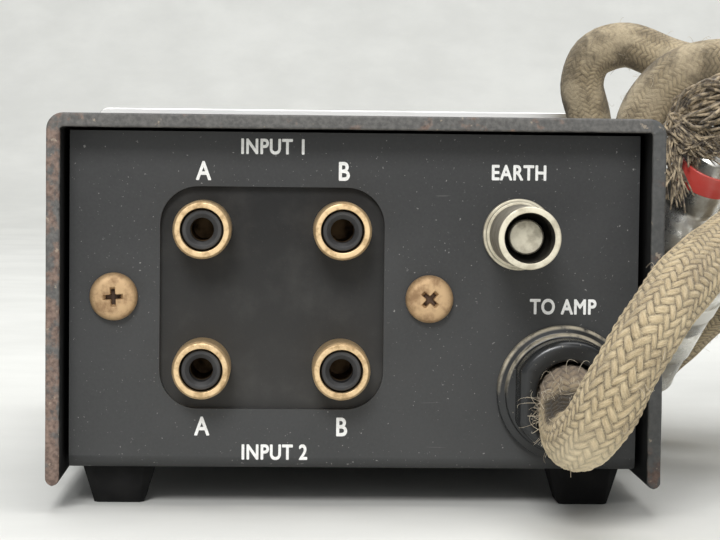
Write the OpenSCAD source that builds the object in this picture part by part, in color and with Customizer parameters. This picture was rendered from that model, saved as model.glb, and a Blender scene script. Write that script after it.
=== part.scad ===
// Moving coil step-up transformer: steel case, four input jacks, ground post, captive output cord.
// Millimetres. +Z up, the jack side faces -Y, the knob side faces +Y, z = 0 is the floor.

/* [Case] */
// width over the cover
case_w = 88; // [70:1:140]
// height of the cover, top to lower edge
case_h = 53; // [45:1:90]
// length of the cover, rear edge to front panel
case_len = 124; // [105:1:200]
// thickness of the cover sheet
cover_t = 2; // [1:0.1:3]
// outside radius of the cover's two bends
cover_r = 2.4; // [2:0.1:5]
// how far the cover's sides reach below the chassis
cover_drop = 1.8; // [0.5:0.1:3]
// thickness of the chassis sheet
sheet_t = 1.2; // [0.8:0.1:2]
// outside radius of the chassis bends
sheet_r = 1.8; // [1.5:0.1:3]
// depth of the rear panel behind the cover's rear edge
panel_recess = 6; // [3:0.5:12]
// gap between the rear panel and each side of the cover
panel_gap = 0.8; // [0.3:0.1:2]
// gap between the rear panel and the cover's top
panel_top_gap = 0.4; // [0.3:0.1:1]
// height of the chassis side lips
lip_h = 10; // [8:0.5:16]
// distance of each lip's end from the rear panel and the front flange
lip_inset = 12; // [8:1:25]

/* [Front panel] */
// how far the front panel stands out around the cover
face_over = 3.4; // [0:0.1:6]
// how far the front panel reaches below the cover
face_under = 1.6; // [0:0.1:3]
// thickness of the front panel
face_t = 5; // [3:0.5:8]
// corner radius of the front panel
face_r = 2; // [0.5:0.5:6]
// side to side distance of the front panel screws from the middle
face_screw_x = 36; // [33:0.5:38]
// up and down distance of the front panel screws from the middle
face_screw_z = 18; // [14:0.5:20]
// depth of the tapped holes in the front panel
face_tap = 3.6; // [2:0.1:4]

/* [Feet] */
// height of a foot
foot_h = 5.8; // [4:0.1:12]
// width of a foot at its top
foot_top = 10.7; // [9:0.1:16]
// width of a foot at its bottom
foot_bot = 7.3; // [7:0.1:14]
// size of the flats on a foot's upright corners, at the top
foot_flat = 2.2; // [0.5:0.1:3]
// distance of the feet from the middle
foot_x = 34.3; // [25:0.1:36]
// distance of the rear feet behind the cover's rear edge
foot_rear = 14.4; // [13:0.1:30]
// distance of the front feet from the cover's front edge
foot_front = 16; // [12:0.1:30]
// head diameter of the foot screws
foot_head = 4.6; // [4.4:0.1:5.4]
// clearance around a foot screw's head, on the diameter
foot_head_fit = 0.6; // [0.2:0.1:1]
// depth of the screw seat in a foot, from below
foot_seat = 3.2; // [2.4:0.1:4]

/* [Screws] */
// thread diameter of all M3 screws
m3_d = 3; // [2.5:0.1:4]
// clearance hole for an M3 screw
m3_hole = 3.3; // [3.2:0.1:4.5]
// head diameter of the M3 screws
m3_head = 5.6; // [5:0.1:7]
// head height of the M3 screws
m3_head_h = 2; // [1.5:0.1:3]
// head diameter of the truss head screws
truss_d = 6.9; // [6:0.1:8]
// head height of the truss head screws
truss_h = 2; // [1.5:0.1:2.6]
// width of the cross slot
slot_w = 0.8; // [0.6:0.1:1.2]
// length of the cross slot
slot_l = 3.4; // [2.5:0.1:4]
// depth of the cross slot
slot_deep = 1.1; // [0.6:0.1:1.4]
// distance of the cover screws from the rear edge and the front edge
cover_screw_y = 30; // [22:1:45]
// width across the flats of the M3 nuts
m3_nut = 5.5; // [5:0.1:7]
// height of the M3 nuts
m3_nut_h = 2.4; // [1.6:0.1:3]

/* [Jacks] */
// middle of the jack group, from the middle of the case
jacks_x = -12; // [-14:0.5:-6]
// middle of the jack group above the floor
jacks_z = 30.6; // [28:0.1:34]
// distance between neighbouring jacks
jack_pitch = 20; // [16:0.5:24]
// window in the rear panel, width
window_w = 32.4; // [30:0.1:40]
// window in the rear panel, height
window_h = 32.2; // [30:0.1:38]
// corner radius of the window
window_r = 5.5; // [1:0.5:10]
// width of the jack board
board_w = 53; // [51.5:0.5:56]
// height of the jack board
board_h = 39; // [36:0.5:44]
// thickness of the jack board
board_t = 1.6; // [1:0.1:3]
// distance of each board screw from the middle of the jack group
board_screw = 22.8; // [20:0.1:24]
// how far the board screws lie above the middle of the jack group
board_screw_up = 0.1; // [-2:0.1:2]
// outside diameter of a jack
jack_d = 8.3; // [8:0.05:8.6]
// inside diameter of a jack's shell
jack_bore = 6.2; // [5.5:0.1:7]
// thread diameter behind the board
jack_thread = 7.4; // [6.8:0.1:8]
// length of the thread behind the board
jack_tail = 5; // [4:0.1:8]
// how far the insulator lies behind the jack's rim
jack_sink = 0.8; // [0.2:0.1:2]
// bore for the plug's pin
pin_hole = 3.4; // [3.3:0.05:3.8]
// outside diameter of the inner contact tube
contact_d = 4.4; // [4:0.1:4.8]
// inside diameter of the inner contact tube
contact_bore = 3.3; // [3.25:0.05:3.6]
// depth of the contact tube behind the insulator's face
contact_deep = 3.4; // [2:0.1:5]
// diameter of the contact's solder tail
contact_tail = 1.8; // [1:0.1:2.4]
// width across the flats of the jack nuts
jack_nut = 10; // [9:0.1:12]
// height of the jack nuts
jack_nut_h = 2; // [1.5:0.1:3]
// thickness of the ground tags under the nuts
tag_t = 0.6; // [0.4:0.1:1]
// outside diameter of the ground tags
tag_d = 10.4; // [9:0.1:12]
// length of a tag's tail from the jack's axis
tag_l = 9; // [7:0.5:12]

/* [Ground post] */
// ground post from the middle of the case
post_x = 23.6; // [18:0.1:26]
// ground post above the floor
post_z = 40.2; // [38:0.1:42]
// thread diameter of the post
post_d = 5; // [4:0.1:6]
// running clearance on the post, on the radius
post_fit = 0.05; // [0.02:0.01:0.1]
// clearance hole in the panel, more than the thread
post_hole_more = 0.4; // [0.2:0.1:1]
// diameter of the collar on the panel
collar_d = 10.4; // [9:0.1:13]
// thickness of the collar
collar_t = 1.2; // [0.8:0.1:2]
// diameter of the loose clamp washer
washer_d = 9.6; // [9:0.1:12]
// thickness of the loose clamp washer
washer_t = 0.8; // [0.5:0.1:1.5]
// diameter of the thumb cap
cap_d = 8.8; // [8:0.1:12]
// length of the thumb cap
cap_l = 13; // [10:0.1:16]
// bore at the cap's open end
cap_bore = 7; // [6:0.1:7.8]
// length of the cap's threaded part
cap_thread = 7; // [5:0.1:9]
// length of the post outside the panel
post_out = 10.5; // [9.5:0.1:13]
// length of the post inside the panel
post_in = 9; // [6:0.5:14]
// width across the flats of the post's inner nut
post_nut = 8; // [7:0.1:10]
// height of the post's inner nut
post_nut_h = 3.2; // [2.4:0.1:4]
// thickness of the ground lug
lug_t = 0.8; // [0.5:0.1:1.2]
// diameter of the ground lug's ring
lug_d = 9.6; // [9:0.1:12]
// length of the ground lug's tail
lug_l = 12; // [9:0.5:16]

/* [Cord bush] */
// cord bush from the middle of the case
bush_x = 30.6; // [28:0.1:31]
// cord bush above the floor
bush_z = 17.2; // [17:0.1:20]
// diameter of the bush's flange
bush_d = 19.7; // [18:0.1:20]
// thickness of the bush's flange
bush_flange = 2.4; // [1.5:0.1:4]
// diameter of the flange's second step
bush_step_d = 17.4; // [16.5:0.1:18]
// height of the flange's second step
bush_step = 0.9; // [0.4:0.1:2]
// diameter of the bush's nose
nose_d = 16.4; // [15:0.1:17]
// width of the nose over its two flat sides
nose_w = 14.5; // [12:0.1:15.5]
// height of the nose above the panel
nose_h = 7; // [5.5:0.1:9]
// width of the bush's mouth
mouth_w = 9.4; // [9:0.1:10]
// height of the bush's mouth
mouth_h = 12.4; // [11:0.1:13]
// corner radius of the mouth
mouth_r = 1.4; // [0.5:0.1:3]
// how far the mouth lies below the bush's axis
mouth_drop = 1; // [0:0.1:1.4]
// how far the mouth's floor stands above the panel
mouth_floor = 2; // [1:0.1:3]
// bore behind the mouth
bush_bore = 6; // [4:0.1:7]
// thread diameter of the bush's neck
neck_d = 15.4; // [14:0.1:16]
// length of the neck behind the panel's face
neck_l = 6; // [5:0.1:9]
// clearance of the neck in the panel, on the diameter
neck_fit = 0.2; // [0.1:0.1:0.6]
// diameter of the ring nut
ring_nut_d = 19; // [18:0.1:20]
// height of the ring nut
ring_nut_h = 3.5; // [2:0.1:4]

/* [Cord] */
// diameter of the braided cord
cord_d = 8.8; // [6:0.1:9]
// mean radius of the first turn of the coil
coil_r0 = 15.2; // [14.8:0.1:16]
// loss of radius in each turn
coil_shrink = 0.2; // [0:0.02:0.3]
// distance between neighbouring turns
coil_step = 9.5; // [9.4:0.1:9.8]
// distance of the coil's axis from the case's side, at its first turn
coil_off = 27.2; // [27:0.1:29]
// distance of the coil's first turn from the cover's rear edge
coil_back = 98; // [97:0.5:99]
// height of the coil's axis
coil_z = 53.4; // [52:0.1:55]
// diameter of the string that ties the coil
string_d = 2; // [1.5:0.1:2.4]
// gap between the string and the cord
string_gap = 0.3; // [0.2:0.1:0.6]
// diameter of the two thin leads
lead_d = 4.2; // [3:0.1:5]
// diameter of the splitter cap
split_d = 11; // [10:0.1:14]
// clearance of the splitter cap on the cord, on the diameter
split_fit = 0.2; // [0.1:0.1:0.6]
// length of the splitter cap over the cord's end
split_l = 9.4; // [8:0.1:10]
// diameter of a plug
plug_d = 10; // [9.6:0.1:12]
// length of a plug's body
plug_l = 20; // [15:0.5:30]
// length of a plug's collar
plug_collar = 8; // [6:0.5:9]
// inside diameter of a plug's collar
plug_bore = 8.4; // [8.3:0.05:8.8]
// diameter of a plug's pin
plug_pin = 3.2; // [3.1:0.05:3.3]
// length of a plug's pin
plug_pin_l = 14.5; // [12:0.5:17]

/* [Switches] */
// distance of each switch from the middle
switch_x = 20; // [16:0.5:22]
// diameter of a switch's cup
cup_d = 30; // [26:0.5:34]
// inside diameter of a switch's cup
cup_bore = 20; // [16:0.5:21]
// depth of a switch's cup
cup_h = 7; // [5:0.5:10]
// thickness of the cup's floor
cup_floor = 2; // [1.5:0.1:3]
// thread diameter of a switch's bush
throat_d = 9; // [8:0.1:10]
// how far the bush's end stands out of the front panel
throat_out = 3.2; // [2.6:0.1:4]
// width across the flats of a switch's nut
throat_nut = 12; // [11:0.1:13]
// height of a switch's nut
throat_nut_h = 2.2; // [1.5:0.1:2.6]
// diameter of a shaft
shaft_d = 6; // [5:0.1:6.35]
// running clearance of a shaft, on the radius
shaft_fit = 0.05; // [0.02:0.01:0.1]
// diameter of the shaft's stop collar
stop_d = 10; // [9:0.5:14]
// thickness of the shaft's stop collar
stop_t = 1.6; // [1:0.1:3]
// end play of the stop collar
stop_play = 0.3; // [0.3:0.1:0.5]
// distance of the wafer behind the cup
wafer_back = 7.4; // [6:0.1:12]
// thickness of a wafer
wafer_t = 1.6; // [1:0.1:3]
// width of a wafer
wafer_w = 30; // [28:0.5:34]
// height of a wafer
wafer_h = 25; // [20:0.5:28]
// hole in a wafer for the rotor
wafer_hole = 15; // [13:0.1:17]
// gap between a rotor and its wafer
rotor_gap = 0.4; // [0.3:0.05:0.8]
// diameter of a rotor's hub
hub_d = 9.5; // [8:0.1:12]
// length of a rotor's hub
hub_l = 6; // [4:0.5:9]
// distance of the tie posts from the shaft
tie_r = 12.5; // [11.5:0.1:13]
// diameter of the spacers on the tie posts
tie_d = 4.4; // [4:0.1:5]
// thread diameter of the tie posts
tie_thread = 2.6; // [2:0.1:3]

/* [Knobs] */
// diameter of a knob
knob_d = 22; // [18:0.5:30]
// height of a knob
knob_h = 15.4; // [12:0.1:22]
// gap between a knob and the front panel
knob_gap = 0.6; // [0.3:0.1:1.5]
// diameter of the hollow under a knob
knob_hollow = 16; // [14.8:0.1:17]
// depth of the hollow under a knob
knob_hollow_h = 3.6; // [3:0.1:5]
// depth of the shaft's bore in a knob, from below
knob_bore = 12.4; // [9:0.1:13]
// depth of the index groove on a knob's rim
groove = 0.6; // [0.3:0.1:1]
// width of the index groove
groove_w = 1.2; // [0.8:0.1:2]
// height of the grub screw above a knob's lower edge
grub_z = 8; // [6.5:0.1:9.5]

/* [Transformers] */
// distance of each transformer from the middle
can_x = 20; // [19.5:0.1:21]
// distance of the transformers behind the cover's rear edge
can_y = 58; // [46:1:65]
// diameter of a screening can
can_d = 30; // [28:0.5:31]
// wall of a screening can
can_t = 1; // [0.6:0.1:1.5]
// height of a screening can
can_h = 40; // [36:0.5:44]
// width of the rim around a can's lower edge
can_rim = 1; // [0.6:0.1:1.2]
// gap between a can and the heads of its screws
can_screw_gap = 0.5; // [0.3:0.1:1]
// metal around the head of a can screw
can_ear = 0.7; // [0.4:0.1:1.2]
// head diameter of the small can screws
small_head = 3.4; // [3:0.1:3.6]
// head height of the small can screws
small_head_h = 1.4; // [1:0.1:2]
// thread diameter of the small can screws
small_d = 2; // [1.6:0.1:2.5]
// width of a core
core_w = 22; // [18:0.5:22.5]
// height of a core
core_h = 30; // [24:0.5:34]
// stack of a core
core_s = 12; // [8:0.5:13]
// width of a core's middle leg
leg_w = 7; // [5:0.1:8]
// width of a core's window
gap_w = 4.5; // [3:0.1:5]
// height of a core's window
gap_h = 20; // [14:0.5:24]
// gap between the winding and the core's windows
wind_gap = 0.4; // [0.3:0.1:1]
// how far a winding bulges out of the stack
wind_out = 4; // [2:0.1:4.5]

/* [Hidden] */
$fn = 48;
post_proud = collar_t + washer_t + cap_l - panel_recess;
all_len = post_proud + case_len + face_t + knob_gap + knob_h;
y_rear = post_proud - all_len / 2;
y_panel = y_rear + panel_recess;
y_inner = y_panel + sheet_t;
y_front = y_rear + case_len;
y_flange = y_front - sheet_t;
y_face = y_front + face_t;
z_under = foot_h;
z_in = z_under + sheet_t;
z_low = z_under - cover_drop;
z_top = z_low + case_h;
in_w = case_w - 2 * cover_t;
panel_w = in_w - 2 * panel_gap;
panel_h = z_top - cover_t - panel_top_gap - z_under;
face_w = case_w + 2 * face_over;
face_low = z_low - face_under;
face_h = z_top + face_over - face_low;
face_mid = face_low + face_h / 2;
lip_screw_z = z_in + lip_h / 2;
lip_y0 = y_panel + lip_inset;
lip_y1 = y_front - lip_inset;
jack_out = y_inner - y_rear;
board_screw_z = jacks_z + board_screw_up;
jack_at = [for (z = [0.5, -0.5], x = [-0.5, 0.5])
    [jacks_x + x * jack_pitch, jacks_z + z * jack_pitch]];
foot_at = [for (y = [y_rear + foot_rear, y_front - foot_front], x = [-foot_x, foot_x]) [x, y]];
core_base = z_in;
can_screw = can_d / 2 + can_screw_gap + small_head / 2;
ear_w = small_head + 2 * can_ear;
wafer_y = y_flange - cup_h - wafer_back;
shaft_tip = y_face + knob_gap + knob_bore;
cord_r = cord_d / 2;

// route of the cord, as x, y from the rear edge, z: out of the bush, down, up past the case's side,
// down to the floor, along the case, up its side and over to the coil
route_rel = [
    [30.6, 4, 17.2], [30.6, -1.5, 17.2], [29.9, -6.8, 14.7], [29.5, -12.4, 13], [30.2, -18.4, 13.9],
    [32, -23, 17.6], [34.6, -25.2, 23.6], [38.4, -23.8, 29.6], [43, -18.4, 34.4], [49, -9.4, 38.2],
    [55.4, 1.5, 40.6], [61.4, 13, 40.8], [66.4, 25, 38.4], [68.8, 37, 34.6], [67.2, 49, 30.8],
    [63.4, 60.5, 26.4], [59.4, 71, 19.8], [55, 81, 12.6], [51.2, 91, 7.2], [49.4, 101, 4.8],
    [48.9, 110, 7.8], [48.8, 115, 16.4], [48.8, 115.4, 28], [48.8, 113.6, 41], [49.4, 112.4, 52.5],
    [48.7, 111.8, 59.5], [47.2, 111.2, 65.8], [49.2, 110.2, 71.2], [55.2, 108.4, 73.3], [62, 105.4, 70.8],
    [68.4, 101.6, 68.8]];

// route of the cord's end, from the coil to the splitter
tail_rel = [
    [79, 56.4, 63], [86.2, 53.6, 60.4], [89.8, 47.4, 58.8], [87.4, 40.8, 58], [81.4, 38.2, 57.8],
    [74.6, 38.2, 58.2]];
function from_rear(p) = [for (q = p) [q.x, y_rear + q.y, q.z]];

// the coil hangs beside the case, leans on its side and comes towards the rear with each turn
coil_yaw = 10.6;
coil_turns = 4;
coil_start = 62;
coil_rings = 24;
coil_mid = [case_w / 2 + coil_off, y_rear + coil_back, coil_z];
coil_n = [-sin(coil_yaw), -cos(coil_yaw), 0];
coil_e1 = [cos(coil_yaw), -sin(coil_yaw), 0];
coil_e2 = [0, 0, 1];
function coil_pt(t) = let (a = coil_start - 360 * t, r = coil_r0 - coil_shrink * t)
    coil_mid + coil_step * t * coil_n + r * cos(a) * coil_e1 + r * sin(a) * coil_e2;
coil_last = coil_turns * coil_rings;
coil_body = [for (i = [0 : coil_last]) coil_pt(i / coil_rings)];
tail_steps = 4;
coil_ends = [coil_body[coil_last - 1], coil_body[coil_last]];
tail_path = spline(concat(coil_ends, from_rear(tail_rel)), tail_steps);
coil_path = concat(coil_body, [for (i = [tail_steps + 1 : len(tail_path) - 1]) tail_path[i]]);
coil_in_end = coil_path[0];
coil_out_end = coil_path[len(coil_path) - 1];
coil_t0 = unit(coil_body[1] - coil_body[0]);
coil_t1 = unit(coil_out_end - coil_path[len(coil_path) - 2]);
lead_path = spline(concat(from_rear(route_rel), [coil_in_end]), 4);

// a string round all turns, on the side away from the case, holds the coil together
string_on = [for (k = [0 : coil_turns - 1]) coil_pt(coil_start / 360 + k)];
string_a = unit(string_on[coil_turns - 1] - string_on[0]);
string_b = cross(coil_e2, string_a);
string_r = cord_r + string_gap + string_d / 2;
string_path = [for (end = [coil_turns - 1, 0], i = [0 : 8]) let (a = (end == 0 ? 90 : -90) + 22.5 * i)
    string_on[end] + string_r * (cos(a) * string_a + sin(a) * string_b)];

// the two thin leads run from the splitter to the plugs, which hang below the coil
split_floor = 2.4;
split_base = coil_out_end - coil_t1 * (split_l - split_floor);
split_end = coil_out_end + coil_t1 * split_floor;
lead_side = unit([0, 1, 0] - coil_t1 * coil_t1.y);
plug_dir = [unit([-0.3, 0.48, -0.825]), unit([-0.17, 0.76, -0.63])];
plug_at = from_rear([[60.2, 43, 53.8], [56.2, 36, 33.2]]);
lead_via = from_rear([[66.2, 38.6, 69.4], [64.4, 29.4, 49]]);
plug_a = [plug_at[0], plug_at[0] + plug_dir[0]];
plug_b = [plug_at[1], plug_at[1] + plug_dir[1]];
start_a = split_end + lead_side * 2.6;
start_b = split_end - lead_side * 2.6;
lead_a = spline([start_a, start_a + coil_t1 * 4, lead_via[0], plug_at[0] - plug_dir[0] * 9, plug_at[0]], 6);
lead_b = spline([start_b, start_b + coil_t1 * 4, lead_via[1], plug_at[1] - plug_dir[1] * 9, plug_at[1]], 6);

function unit(v) = v / norm(v);
function bend(a, b, c, d, t) = 0.5 * (2 * b + (c - a) * t + (2 * a - 5 * b + 4 * c - d) * t * t
    + (3 * b - a - 3 * c + d) * t * t * t);
function spline(p, n) = let (m = len(p), q = concat([2 * p[0] - p[1]], p, [2 * p[m - 1] - p[m - 2]]))
    concat([for (i = [0 : m - 2], k = [0 : n - 1]) bend(q[i], q[i + 1], q[i + 2], q[i + 3], k / n)],
        [p[m - 1]]);
function tangent(p, i) = unit(p[min(i + 1, len(p) - 1)] - p[max(i - 1, 0)]);
function ring(c, t, ref, r, n) = let (b = unit(cross(t, ref)), a = cross(b, t))
    [for (k = [0 : n - 1]) c + r * (cos(360 * k / n) * a + sin(360 * k / n) * b)];

// least distance between parts of the coil that are not neighbours, less the cord's diameter
coil_least = min([for (i = [0 : len(coil_path) - 1], j = [i + 8 : 1 : len(coil_path) - 1])
    norm(coil_path[i] - coil_path[j])]) - cord_d;
echo(coil_least_gap = coil_least);

// flat outline with rounded corners, lower left corner at the origin
module rounded(w, h, r) {
    translate([r, 0]) square([w - 2 * r, h]);
    translate([0, r]) square([w, h - 2 * r]);
    for (x = [r, w - r], y = [r, h - r]) translate([x, y]) circle(r);
}

// the same, centred
module rounded_mid(w, h, r) {
    translate([-w / 2, -h / 2]) rounded(w, h, r);
}

// local z points out of the rear panel, local y up
module out(x, y, z) {
    translate([x, y, z]) rotate([90, 0, 0]) children();
}

// local z points out of the front panel
module forth(x, y, z) {
    translate([x, y, z]) rotate([-90, 0, 0]) children();
}

// local z points from p to q
module along(p, q) {
    d = q - p;
    translate(p) rotate([0, acos(d.z / norm(d)), atan2(d.y, d.x)]) children();
}

module tube(d, bore, h) {
    difference() {
        cylinder(d = d, h = h);
        translate([0, 0, -1]) cylinder(d = bore, h = h + 2);
    }
}

module hex(af, h) {
    cylinder(d = af / cos(30), h = h, $fn = 6);
}

module cross_slot(turn) {
    rotate([0, 0, turn]) {
        translate([-slot_l / 2, -slot_w / 2, 0]) cube([slot_l, slot_w, slot_deep + 1]);
        translate([-slot_w / 2, -slot_l / 2, 0]) cube([slot_w, slot_l, slot_deep + 1]);
    }
}

// screw with a domed head above z = 0 and its thread below
module truss_screw(l, turn) {
    ball = (truss_d * truss_d / 4 + truss_h * truss_h) / (2 * truss_h);
    difference() {
        intersection() {
            translate([0, 0, truss_h - ball]) sphere(ball, $fn = 64);
            cylinder(d = truss_d + 2, h = truss_h + 1);
        }
        translate([0, 0, truss_h - slot_deep]) cross_slot(turn);
    }
    translate([0, 0, -l]) cylinder(d = m3_d, h = l);
}

// screw with a flat topped head
module pan_screw(l, d, head, head_h) {
    difference() {
        cylinder(d = head, h = head_h);
        translate([0, 0, head_h / 2]) translate([-head, -slot_w / 2, 0]) cube([2 * head, slot_w, head_h]);
    }
    translate([0, 0, -l]) cylinder(d = d, h = l);
}

// tube along a route, of n sides
module sweep(p, r, n, ref, first, last) {
    m = len(p);
    pts = [for (i = [0 : m - 1])
        each ring(p[i], i == 0 ? first : i == m - 1 ? last : tangent(p, i), ref, r, n)];
    walls = [for (i = [0 : m - 2], k = [0 : n - 1]) let (a = i * n + k, b = i * n + (k + 1) % n)
        each [[a, b, b + n], [a, b + n, a + n]]];
    ends = [[for (k = [n - 1 : -1 : 0]) k], [for (k = [0 : n - 1]) (m - 1) * n + k]];
    polyhedron(points = pts, faces = concat(walls, ends), convexity = 6);
}

// closed loop of a tube of n sides, flat across ref
module loop(p, r, n, ref) {
    m = len(p);
    pts = [for (i = [0 : m - 1]) each ring(p[i], unit(p[(i + 1) % m] - p[(i + m - 1) % m]), ref, r, n)];
    walls = [for (i = [0 : m - 1], k = [0 : n - 1])
        let (j = (i + 1) % m, l = (k + 1) % n, a = i * n + k, b = i * n + l, c = j * n + k, d = j * n + l)
        each [[a, b, d], [a, d, c]]];
    polyhedron(points = pts, faces = walls, convexity = 6);
}

// bent sheet: a flat top, two bends and two sides with rounded lower edges
module cover_outline() {
    difference() {
        union() {
            translate([-case_w / 2, z_low + cover_t / 2])
                square([case_w, case_h - cover_t / 2 - cover_r]);
            translate([cover_r - case_w / 2, z_top - cover_r - 1])
                square([case_w - 2 * cover_r, cover_r + 1]);
            for (s = [-1, 1]) translate([s * (case_w / 2 - cover_r), z_top - cover_r]) circle(cover_r);
        }
        translate([-in_w / 2, z_low - 1]) square([in_w, case_h - cover_t + 1]);
    }
    for (s = [-1, 1]) translate([s * (case_w - cover_t) / 2, z_low + cover_t / 2]) circle(d = cover_t);
}

module cover() {
    color([0.11, 0.11, 0.12])
        difference() {
            translate([0, y_front, 0]) rotate([90, 0, 0]) linear_extrude(case_len)
                cover_outline();
            for (s = [-1, 1], y = [y_rear + cover_screw_y, y_front - cover_screw_y])
                translate([s * case_w / 2, y, lip_screw_z]) rotate([0, 90, 0])
                    cylinder(d = m3_hole, h = 8, center = true);
        }
}

// folded sheet: rear panel, floor and front flange in one, with a lip along each side
module chassis() {
    l = y_front - y_panel;
    color([0.2, 0.2, 0.21])
        difference() {
            union() {
                translate([-panel_w / 2, y_panel, z_under]) rotate([90, 0, 90]) linear_extrude(panel_w)
                    difference() {
                        union() {
                            rounded(l, panel_h, sheet_r);
                            translate([0, sheet_r]) square([l, panel_h - sheet_r]);
                        }
                        translate([sheet_t, sheet_t]) rounded(l - 2 * sheet_t, panel_h, sheet_r - sheet_t);
                    }
                for (s = [0, 1]) mirror([s, 0, 0]) {
                    translate([panel_w / 2 - 4, lip_y0, z_under])
                        cube([in_w / 2 - panel_w / 2 + 4, lip_y1 - lip_y0, sheet_t]);
                    translate([in_w / 2 - sheet_t, lip_y0, z_under])
                        cube([sheet_t, lip_y1 - lip_y0, lip_h + sheet_t]);
                }
            }
            out(jacks_x, y_panel + 2 * sheet_t, jacks_z)
                linear_extrude(4 * sheet_t) rounded_mid(window_w, window_h, window_r);
            for (s = [-1, 1]) out(jacks_x + s * board_screw, y_panel + 2 * sheet_t, board_screw_z)
                cylinder(d = m3_hole, h = 4 * sheet_t);
            out(post_x, y_panel + 2 * sheet_t, post_z)
                cylinder(d = post_d + post_hole_more, h = 4 * sheet_t);
            out(bush_x, y_panel + 2 * sheet_t, bush_z) cylinder(d = neck_d + neck_fit, h = 4 * sheet_t);
            for (s = [-1, 1]) forth(s * switch_x, y_flange - sheet_t, face_mid)
                cylinder(d = throat_d, h = 4 * sheet_t);
            for (x = [-face_screw_x, face_screw_x], z = [-face_screw_z, face_screw_z])
                forth(x, y_flange - sheet_t, face_mid + z) cylinder(d = m3_hole, h = 4 * sheet_t);
            for (p = foot_at) translate([p.x, p.y, z_under - 1]) cylinder(d = m3_d, h = sheet_t + 2);
            for (s = [-1, 1], e = [-1, 1])
                translate([s * can_x, y_rear + can_y + e * can_screw, z_under - 1])
                    cylinder(d = small_d, h = sheet_t + 2);
            for (s = [-1, 1], y = [y_rear + cover_screw_y, y_front - cover_screw_y])
                translate([s * in_w / 2, y, lip_screw_z]) rotate([0, 90, 0])
                    cylinder(d = m3_d, h = 8, center = true);
        }
}

module front_panel() {
    color([0.78, 0.78, 0.76])
        difference() {
            forth(0, y_front, face_mid) linear_extrude(face_t) rounded_mid(face_w, face_h, face_r);
            for (s = [-1, 1]) forth(s * switch_x, y_front - 1, face_mid)
                cylinder(d = throat_d, h = face_t + 2);
            for (x = [-face_screw_x, face_screw_x], z = [-face_screw_z, face_screw_z])
                forth(x, y_front - 1, face_mid + z) cylinder(d = m3_d, h = face_tap + 1);
        }
}

module cover_screws() {
    color([0.1, 0.1, 0.1])
        for (s = [0, 1], y = [y_rear + cover_screw_y, y_front - cover_screw_y]) mirror([s, 0, 0])
            translate([case_w / 2, y, lip_screw_z]) rotate([0, 90, 0])
                truss_screw(cover_t + sheet_t + 2, y + 90 * s);
}

module front_panel_screws() {
    color([0.7, 0.7, 0.7])
        for (x = [-face_screw_x, face_screw_x], z = [-face_screw_z, face_screw_z])
            out(x, y_flange, face_mid + z)
                pan_screw(sheet_t + face_tap, m3_d, m3_head, m3_head_h);
}

// trapezium, its top edge at y = 0
module taper(top, bot) {
    polygon([[-top / 2, 0], [top / 2, 0], [bot / 2, -foot_h], [-bot / 2, -foot_h]]);
}

module foot(p) {
    corner = foot_top * sqrt(2) - foot_flat;
    color([0.07, 0.07, 0.07])
        translate([p.x, p.y, z_under]) difference() {
            intersection() {
                translate([0, foot_top, 0]) rotate([90, 0, 0]) linear_extrude(2 * foot_top)
                    taper(foot_top, foot_bot);
                translate([-foot_top, 0, 0]) rotate([90, 0, 90]) linear_extrude(2 * foot_top)
                    taper(foot_top, foot_bot);
                rotate([0, 0, 45]) translate([0, foot_top, 0]) rotate([90, 0, 0])
                    linear_extrude(2 * foot_top) taper(corner, corner - (foot_top - foot_bot));
                rotate([0, 0, 45]) translate([-foot_top, 0, 0]) rotate([90, 0, 90])
                    linear_extrude(2 * foot_top) taper(corner, corner - (foot_top - foot_bot));
            }
            translate([0, 0, -foot_h - 1]) cylinder(d = foot_head + foot_head_fit, h = foot_seat + 1);
            translate([0, 0, -foot_h - 1]) cylinder(d = m3_hole, h = foot_h + 2);
        }
}

module foot_rear_left() { foot(foot_at[0]); }
module foot_rear_right() { foot(foot_at[1]); }
module foot_front_left() { foot(foot_at[2]); }
module foot_front_right() { foot(foot_at[3]); }

module foot_screws() {
    color([0.7, 0.7, 0.7])
        for (p = foot_at) translate([p.x, p.y, foot_seat]) rotate([180, 0, 0])
            pan_screw(foot_h - foot_seat + sheet_t + 2, m3_d, foot_head, m3_head_h);
}

module jack_board() {
    color([0.1, 0.1, 0.1])
        out(jacks_x, y_inner + board_t, jacks_z) difference() {
            linear_extrude(board_t) rounded_mid(board_w, board_h, 1);
            for (p = jack_at) translate([p.x - jacks_x, p[1] - jacks_z, -1])
                cylinder(d = jack_thread, h = board_t + 2);
            for (s = [-1, 1]) translate([s * board_screw, board_screw_up, -1])
                cylinder(d = m3_hole, h = board_t + 2);
        }
}

// turned shell: the plug's collar slides over its outside
module jack_shell(p) {
    color([0.8, 0.65, 0.35])
        out(p[0], y_inner, p[1]) difference() {
            union() {
                cylinder(d = jack_d, h = jack_out - 0.5);
                translate([0, 0, jack_out - 0.5]) cylinder(d1 = jack_d, d2 = jack_d - 0.7, h = 0.5);
                translate([0, 0, -board_t - jack_tail])
                    cylinder(d = jack_thread, h = board_t + jack_tail + 1);
            }
            translate([0, 0, -board_t - jack_tail - 1])
                cylinder(d = jack_bore, h = board_t + jack_tail + jack_out + 2);
        }
}

module jack_shell_1_left() { jack_shell(jack_at[0]); }
module jack_shell_1_right() { jack_shell(jack_at[1]); }
module jack_shell_2_left() { jack_shell(jack_at[2]); }
module jack_shell_2_right() { jack_shell(jack_at[3]); }

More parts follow.
